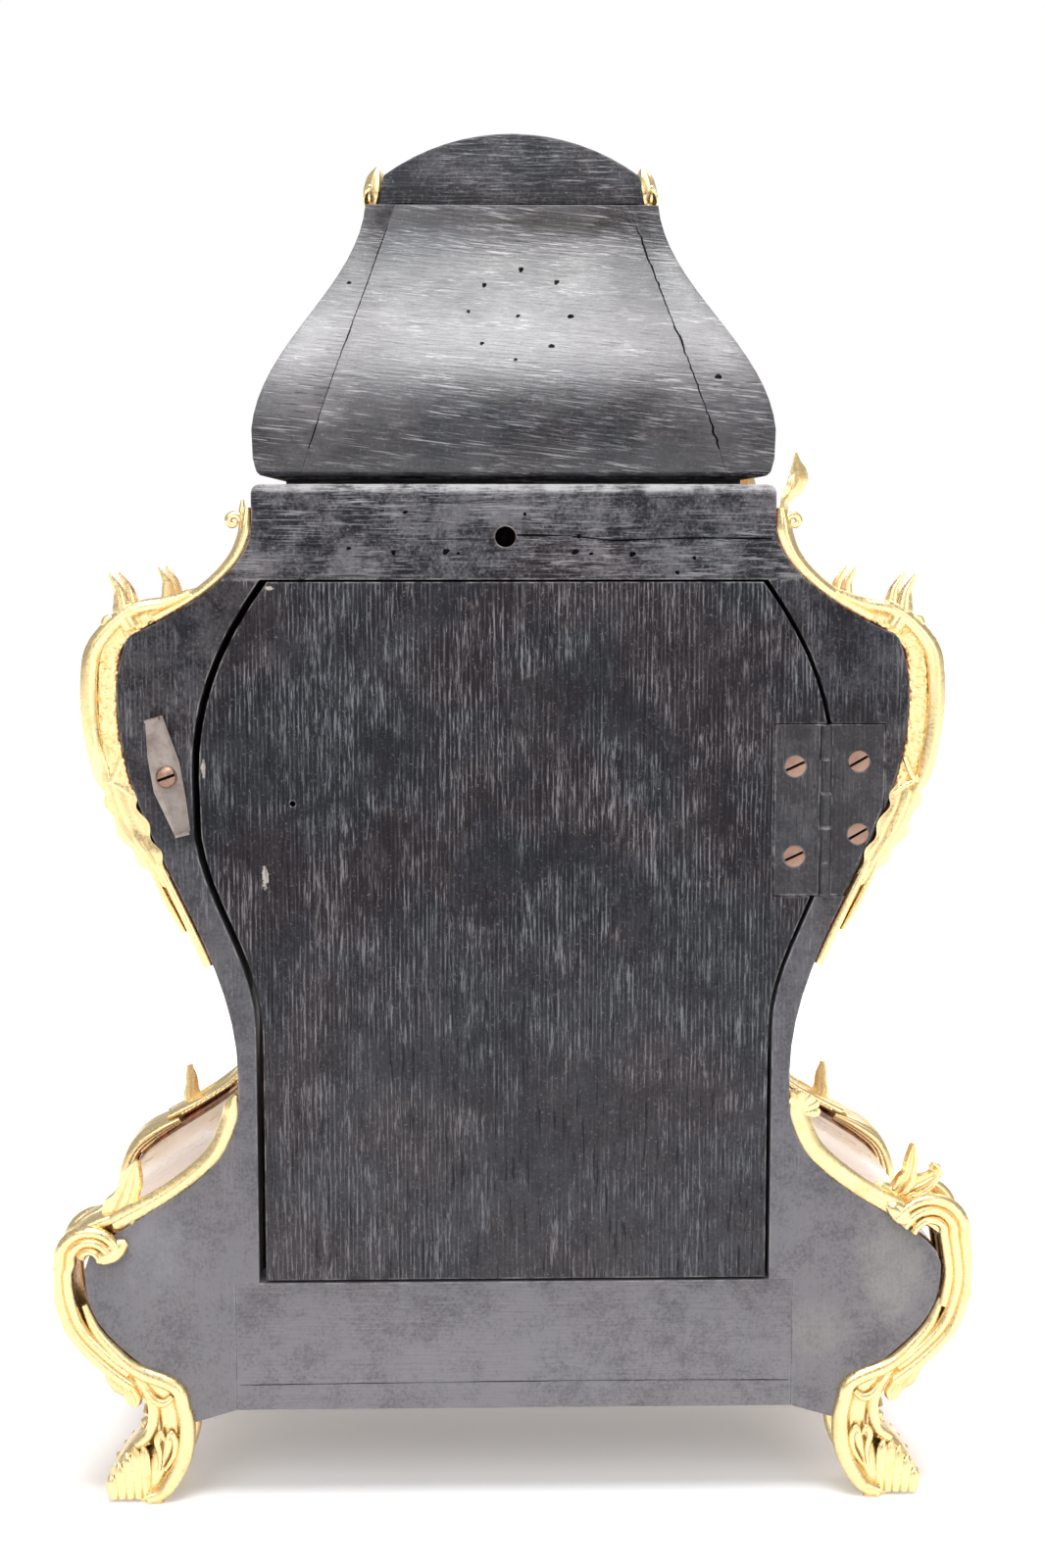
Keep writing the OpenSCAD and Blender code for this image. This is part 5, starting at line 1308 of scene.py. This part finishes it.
class CLOCK_OT_mounts(Operator):
    """Cast the corner mounts, the feet and the shoulder trim, and set them on all four corners"""

    bl_idname = "clock.mounts"
    bl_label = "Gilt Mounts"

    def execute(self, context):
        bright, matted = upper_mount()
        feet = {
            (side, front): foot_mount(side == "left", front)
            for side in ("right", "left") for front in (False, True)
        }
        trims = {"right": shoulder_trim(False), "left": shoulder_trim(True)}
        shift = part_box("front_foot_right")[0].y / MM - (2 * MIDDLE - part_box("foot_mount_right")[1].y / MM)
        for front in (False, True):
            for side in ("right", "left"):
                node = f"front_upper_mount_{side}" if front else f"upper_mount_{side}"
                self.set_one(bright, f"{node}_rims", side, front, 0, "gilt", node)
                self.set_one(matted, f"{node}_ground", side, front, 0, "matted")
                node = f"front_foot_{side}" if front else f"foot_mount_{side}"
                foot = feet[side, front]
                self.set_one(foot, f"{node}_casting", side, front, shift if front else 0, "gilt", node)
        for side, trim in trims.items():
            self.set_one(trim, f"shoulder_trim_{side}", side, False, 0, "gilt")
        for pattern in (bright, matted, *feet.values(), *trims.values()):
            bpy.data.objects.remove(pattern)
        return {"FINISHED"}

    def set_one(self, pattern, name, side, front, shift, finish, *nodes):
        """Sets a copy of a right rear pattern on its corner, inside the solids' box and down on the floor."""
        piece = copied(pattern, name)
        if front:
            for point in piece.data.vertices:
                point.co.y = 2 * MIDDLE * MM - point.co.y
            in_edit(piece, FLIPPED)
        if name.startswith("upper_mount_right"):
            self.room_for_button(piece)
        if side == "left":
            for point in piece.data.vertices:
                point.co.x = -point.co.x
            in_edit(piece, FLIPPED)
        low, high = CAD_BOX
        sole = 1.2 * MM
        for point in piece.data.vertices:
            point.co += Vector((0, shift, 0)) * MM
            point.co.z = 0 if point.co.z < sole else point.co.z
            point.co.x = min(max(point.co.x, low[0]), high[0])
        put(piece, finish, *GILT, *nodes, smooth=50)

    def room_for_button(self, piece):
        """Presses a mount's relief flatter where the end of the turn button sweeps over it."""
        low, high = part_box("turn_button")
        x, z = (low.x + high.x) / 2, (low.z + high.z) / 2
        reach = (high.z - low.z) / 2 + 1.5 * MM
        gap, squeeze, fade = 1.8 * MM, 1.6 * MM, 4 * MM
        for point in piece.data.vertices:
            away = (math.hypot(point.co.x - x, point.co.z - z) - reach) / fade
            over = point.co.y - low.y + gap
            if over > 0 and away < 1:
                pressed = low.y - gap + squeeze * (1 - math.exp(-over / squeeze))
                point.co.y += (pressed - point.co.y) * (1 - max(away, 0))


class CLOCK_OT_small_mounts(Operator):
    """Make the buds at the crest's ends and the shell with its scrolls on the apron"""

    bl_idname = "clock.small_mounts"
    bl_label = "Crest and Apron Mounts"

    def execute(self, context):
        self.crest()
        self.apron()
        return {"FINISHED"}

    def crest(self):
        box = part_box("crest_mounts")
        edge, low, high = box[1].x / MM, box[0].z / MM, box[1].z / MM
        cast = Casting()
        for side in (-1, 1):
            x = side * (edge - 4.0)
            bud = [(x + side * out, MIDDLE, z, across, deep) for out, z, across, deep in (
                (0, low, 1.0, 1.0), (1.0, low + 2, 3.0, 3.0), (0.8, low + 5, 2.2, 2.4),
                (0.6, low + 8, 3.6, 3.6), (0, high - 1, 3.0, 3.0), (-0.6, high + 2.4, 1.2, 1.4),
                (-0.8, high + 3.2, 0.4, 0.4),
            )]
            cast.bar("crest_bud", bud, 30, 16, (1, 0, 0), grooves=6, groove=0.12)
            for turn in (-1, 1):
                spine = [(x + side * out, MIDDLE + y * turn, low + z) for out, y, z in (
                    (0, 1, 1), (2.6, 4, 4), (2.4, 8, 8), (1, 11, 9),
                )]
                cast.leaf("crest_leaf", spine, 3.0, (side, 0, 0.2), 3, 0.3, 0.4, 0.9, 0.3, 8, 22)
        put(cast.joined("crest_mount_castings"), "gilt", *GILT, "crest_mounts", smooth=50)

    def swell(self, z):
        """Depth of the apron's face at a height."""
        t = min(max((z - FOOT) / 84, 0.001), 0.999)
        return FRONT - 10 * math.sin(math.pi * t**0.8) ** 1.2

    def apron(self):
        cast = Casting()
        cast.shell("apron_shell", (0, self.swell(62) - 1.4, 58), (0, 0, 1), (0, -1, 0), 23, 82, 9, 1.2)
        for side in (-1, 1):
            scroll = [(side * x, self.swell(z) - half - 0.2, z, half, half) for x, z, half in (
                (4, 57, 2.0), (14, 52, 2.2), (26, 51, 2.2), (37, 56, 2.1), (46, 65, 1.9), (56, 70, 1.6),
                (66, 68, 1.2), (72, 62, 0.7),
            )]
            cast.bar("apron_scroll", scroll, 70, 14, grooves=4, groove=0.1)
            end = curl((67.5, 61.5), 6.0, 1.2, 60, -300, 1.5, 16, self.swell(62) - 1.6)
            cast.bar("apron_curl", [(side * x, *rest) for x, *rest in end], 44, 12)
            for points, wide in (
                (((10, 56), (22, 60), (34, 66), (44, 74)), 5.0),
                (((16, 51), (26, 45), (38, 42), (50, 44)), 4.6),
                (((44, 64), (54, 60), (62, 52), (70, 47)), 4.0),
                (((3, 52), (8, 46), (10, 40), (6, 36)), 3.6),
            ):
                spine = [(side * x, self.swell(z) - 1.4 - 1.0 * i, z) for i, (x, z) in enumerate(points)]
                cast.leaf("apron_leaf", spine, wide, (0, -1, 0), 4, 0.25, 0.6, 1.0, 0.28, 12, 30)
        piece = cast.joined("apron_mount_casting")
        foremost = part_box("apron_mount")[0].y
        for point in piece.data.vertices:
            point.co.y = max(point.co.y, foremost)
        put(piece, "gilt", *GILT, "apron_mount", smooth=50)


class CLOCK_OT_front_door(Operator):
    """Finish the front door's frame, its glass and its hinges"""

    bl_idname = "clock.front_door"
    bl_label = "Glazed Front Door"

    def execute(self, context):
        set_board("front_door", "front_door_frame", 0.5, "gilt", ("glazed_door", "gilt_bronze"), smooth=30)
        dress("glass", "front_glass")
        dress("gilt", "front_hinge_case", "front_hinge_door")
        return {"FINISHED"}


class CLOCK_OT_dial(Operator):
    """Dress the dial: engraved ground, enamel plaques with hour numerals, and blued hands"""

    bl_idname = "clock.dial"
    bl_label = "Dial and Hands"

    def execute(self, context):
        dress("dial", "dial_plate")
        dress("enamel", "dial_plaques")
        dress("blued", "hour_hand", "minute_hand")
        hours = ("XII", "I", "II", "III", "IIII", "V", "VI", "VII", "VIII", "IX", "X", "XI")
        marks = [self.numeral(text, math.radians(30 * k)) for k, text in enumerate(hours)]
        put(joined("hour_numerals", marks), "ink", "case", "enamel", smooth=20)
        return {"FINISHED"}

    def numeral(self, text, turn):
        """An hour's numeral, laid on its domed plaque."""
        size, widest, thick, clear = 9 * MM, 11.5 * MM, 0.05 * MM, 0.1 * MM
        ring = DIAL_R - 5 - 9.5
        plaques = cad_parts["dial_plaques"]
        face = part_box("dial_plaques")[0].y / MM
        deselect()
        bpy.ops.object.text_add()
        mark = bpy.context.object
        mark.data.body = text
        mark.data.size = size
        mark.data.resolution_u = 2
        mark.data.align_x = "CENTER"
        mark.data.align_y = "CENTER"
        mark.data.extrude = thick
        mark.data.space_character = 0.88
        bpy.ops.object.convert(target="MESH")
        mark = in_edit(bpy.context.object, (bpy.ops.mesh.subdivide, {"number_cuts": 3}))
        wide = max(v.co.x for v in mark.data.vertices) - min(v.co.x for v in mark.data.vertices)
        squeeze = min(1, widest / wide)
        c, s = math.cos(turn), math.sin(turn)
        for point in mark.data.vertices:
            x, z = point.co.x * squeeze, point.co.y * 1.05 + ring * MM
            at = Vector((x * c + z * s, (face - 5) * MM, DIAL * MM - x * s + z * c))
            hit, on_plaque, _, _ = plaques.ray_cast(at, Vector((0, 1, 0)))
            at.y = (on_plaque.y if hit else face * MM) - clear - point.co.z
            point.co = at
        return in_edit(mark, OUTWARDS)


class CLOCK_OT_movement(Operator):
    """Finish the movement, the pendulum, the bell and the hammer"""

    bl_idname = "clock.movement"
    bl_label = "Movement"

    def execute(self, context):
        dress(
            "brass", "front_plate", "back_plate", "pillars", "movement_straps", "going_barrel",
            "strike_barrel", "centre_wheel", "third_wheel", "escape_wheel", "minute_wheel", "hour_wheel",
            "suspension_cock", "pendulum_bob", "bell_stand",
        )
        dress("bright_steel", "going_arbor", "strike_arbor", "anchor", "pendulum", "hammer")
        dress("bell", "bell")
        return {"FINISHED"}


class CLOCK_OT_studio(Operator):
    """Set the pale floor, the soft lights and the camera at the photograph's angle"""

    bl_idname = "clock.studio"
    bl_label = "Studio"

    def execute(self, context):
        self.floor()
        self.lights()
        self.sky()
        self.camera()
        context.scene.view_settings.view_transform = "Standard"
        return {"FINISHED"}

    def floor(self):
        deselect()
        bpy.ops.mesh.primitive_plane_add(size=12)
        floor = bpy.context.object
        floor.name = floor.data.name = "floor"
        f = Finish("pale_floor", rough=0.6)
        f.set("Base Color", (0.9, 0.9, 0.9, 1))
        far = f.length_of(f.place)
        bright = f.level(far, 0.3, 1.6, 0.2, 1.0)
        glow = f.add("ShaderNodeEmission", {"Color": (1, 1, 1, 1), "Strength": bright})
        rays = f.add("ShaderNodeLightPath").outputs
        mirrored = f.maths("MAXIMUM", rays["Is Glossy Ray"], rays["Is Transmission Ray"])
        seen = f.maths("MAXIMUM", rays["Is Camera Ray"], mirrored)
        both = f.add("ShaderNodeAddShader", {0: f.shader.outputs[0], 1: glow.outputs[0]})
        pick = f.add("ShaderNodeMixShader", {0: seen, 1: f.shader.outputs[0], 2: both.outputs[0]})
        f.tree.links.new(pick.outputs[0], f.tree.nodes["Material Output"].inputs["Surface"])
        floor.data.materials.append(f.material)

    def lights(self):
        waist = Vector((0, 0, 0.25))
        for name, at, size, power in (
            ("key", (0.7, 1.3, 1.2), 0.9, 9.0),
            ("fill", (-0.95, 1.2, 0.7), 0.9, 5.0),
            ("overhead", (0, 0.3, 1.55), 0.8, 25.0),
            ("front", (-0.4, -1.3, 1.0), 1.2, 10.0),
        ):
            deselect()
            bpy.ops.object.light_add(type="AREA", location=at)
            light = bpy.context.object
            light.name = name
            light.data.size = size
            light.data.energy = power
            light.rotation_euler = (waist - Vector(at)).to_track_quat("-Z", "Y").to_euler()

    def sky(self):
        world = bpy.context.scene.world or bpy.data.worlds.new("studio")
        bpy.context.scene.world = world
        world.use_nodes = True
        world.node_tree.nodes.clear()
        sky = Nodes(world.node_tree)
        rays = sky.add("ShaderNodeLightPath").outputs
        either = sky.maths("MAXIMUM", rays["Is Camera Ray"], rays["Is Transmission Ray"])
        strength = sky.add("ShaderNodeMapRange", {0: either, 3: 0.5, 4: 1.0}).outputs[0]
        ground = sky.add("ShaderNodeBackground", {"Color": (1, 1, 1, 1), "Strength": strength})
        sky.add("ShaderNodeOutputWorld", {"Surface": ground.outputs[0]})

    def camera(self):
        """From behind the clock, 0.76 m from its back and 0.34 m above the table, tilted 6.5 degrees down."""
        aside, distance, height, tilt, turn = 0.0152, 0.76, 0.34, 6.5, 1.35
        deselect()
        bpy.ops.object.camera_add(location=(aside, BACK * MM + distance, height))
        camera = bpy.context.object
        camera.data.sensor_width = 36
        camera.data.lens = 51.75
        camera.data.clip_start = 0.01
        camera.rotation_euler = (math.radians(90 - tilt), 0, math.radians(180 - turn))
        bpy.context.scene.camera = camera


class CLOCK_PT_panel(Panel):
    """Steps that dress the clock, in the order that they run"""

    bl_idname = "CLOCK_PT_panel"
    bl_label = "Waisted Mantel Clock"
    bl_space_type = "VIEW_3D"
    bl_region_type = "UI"
    bl_category = "Clock"

    def draw(self, context):
        for step in STEPS:
            self.layout.operator(step.bl_idname)
        for group in (sizes(), paints()):
            for key in group.__annotations__:
                self.layout.prop(group, key)


STEPS = (
    CLOCK_OT_outline,
    CLOCK_OT_studio,
    CLOCK_OT_back_boards,
    CLOCK_OT_carcase,
    CLOCK_OT_roof,
    CLOCK_OT_hardware,
    CLOCK_OT_mounts,
    CLOCK_OT_small_mounts,
    CLOCK_OT_front_door,
    CLOCK_OT_dial,
    CLOCK_OT_movement,
)
CLASSES = (ClockSizes, ClockColours, *STEPS, CLOCK_PT_panel)


def register():
    for cls in CLASSES:
        bpy.utils.register_class(cls)
    bpy.types.Scene.clock_sizes = PointerProperty(type=ClockSizes)
    bpy.types.Scene.clock_colours = PointerProperty(type=ClockColours)


def unregister():
    del bpy.types.Scene.clock_colours
    del bpy.types.Scene.clock_sizes
    for cls in reversed(CLASSES):
        bpy.utils.unregister_class(cls)


def main():
    register()
    for step in STEPS:
        group, name = step.bl_idname.split(".")
        getattr(getattr(bpy.ops, group), name)()


if __name__ == "__main__":
    main()
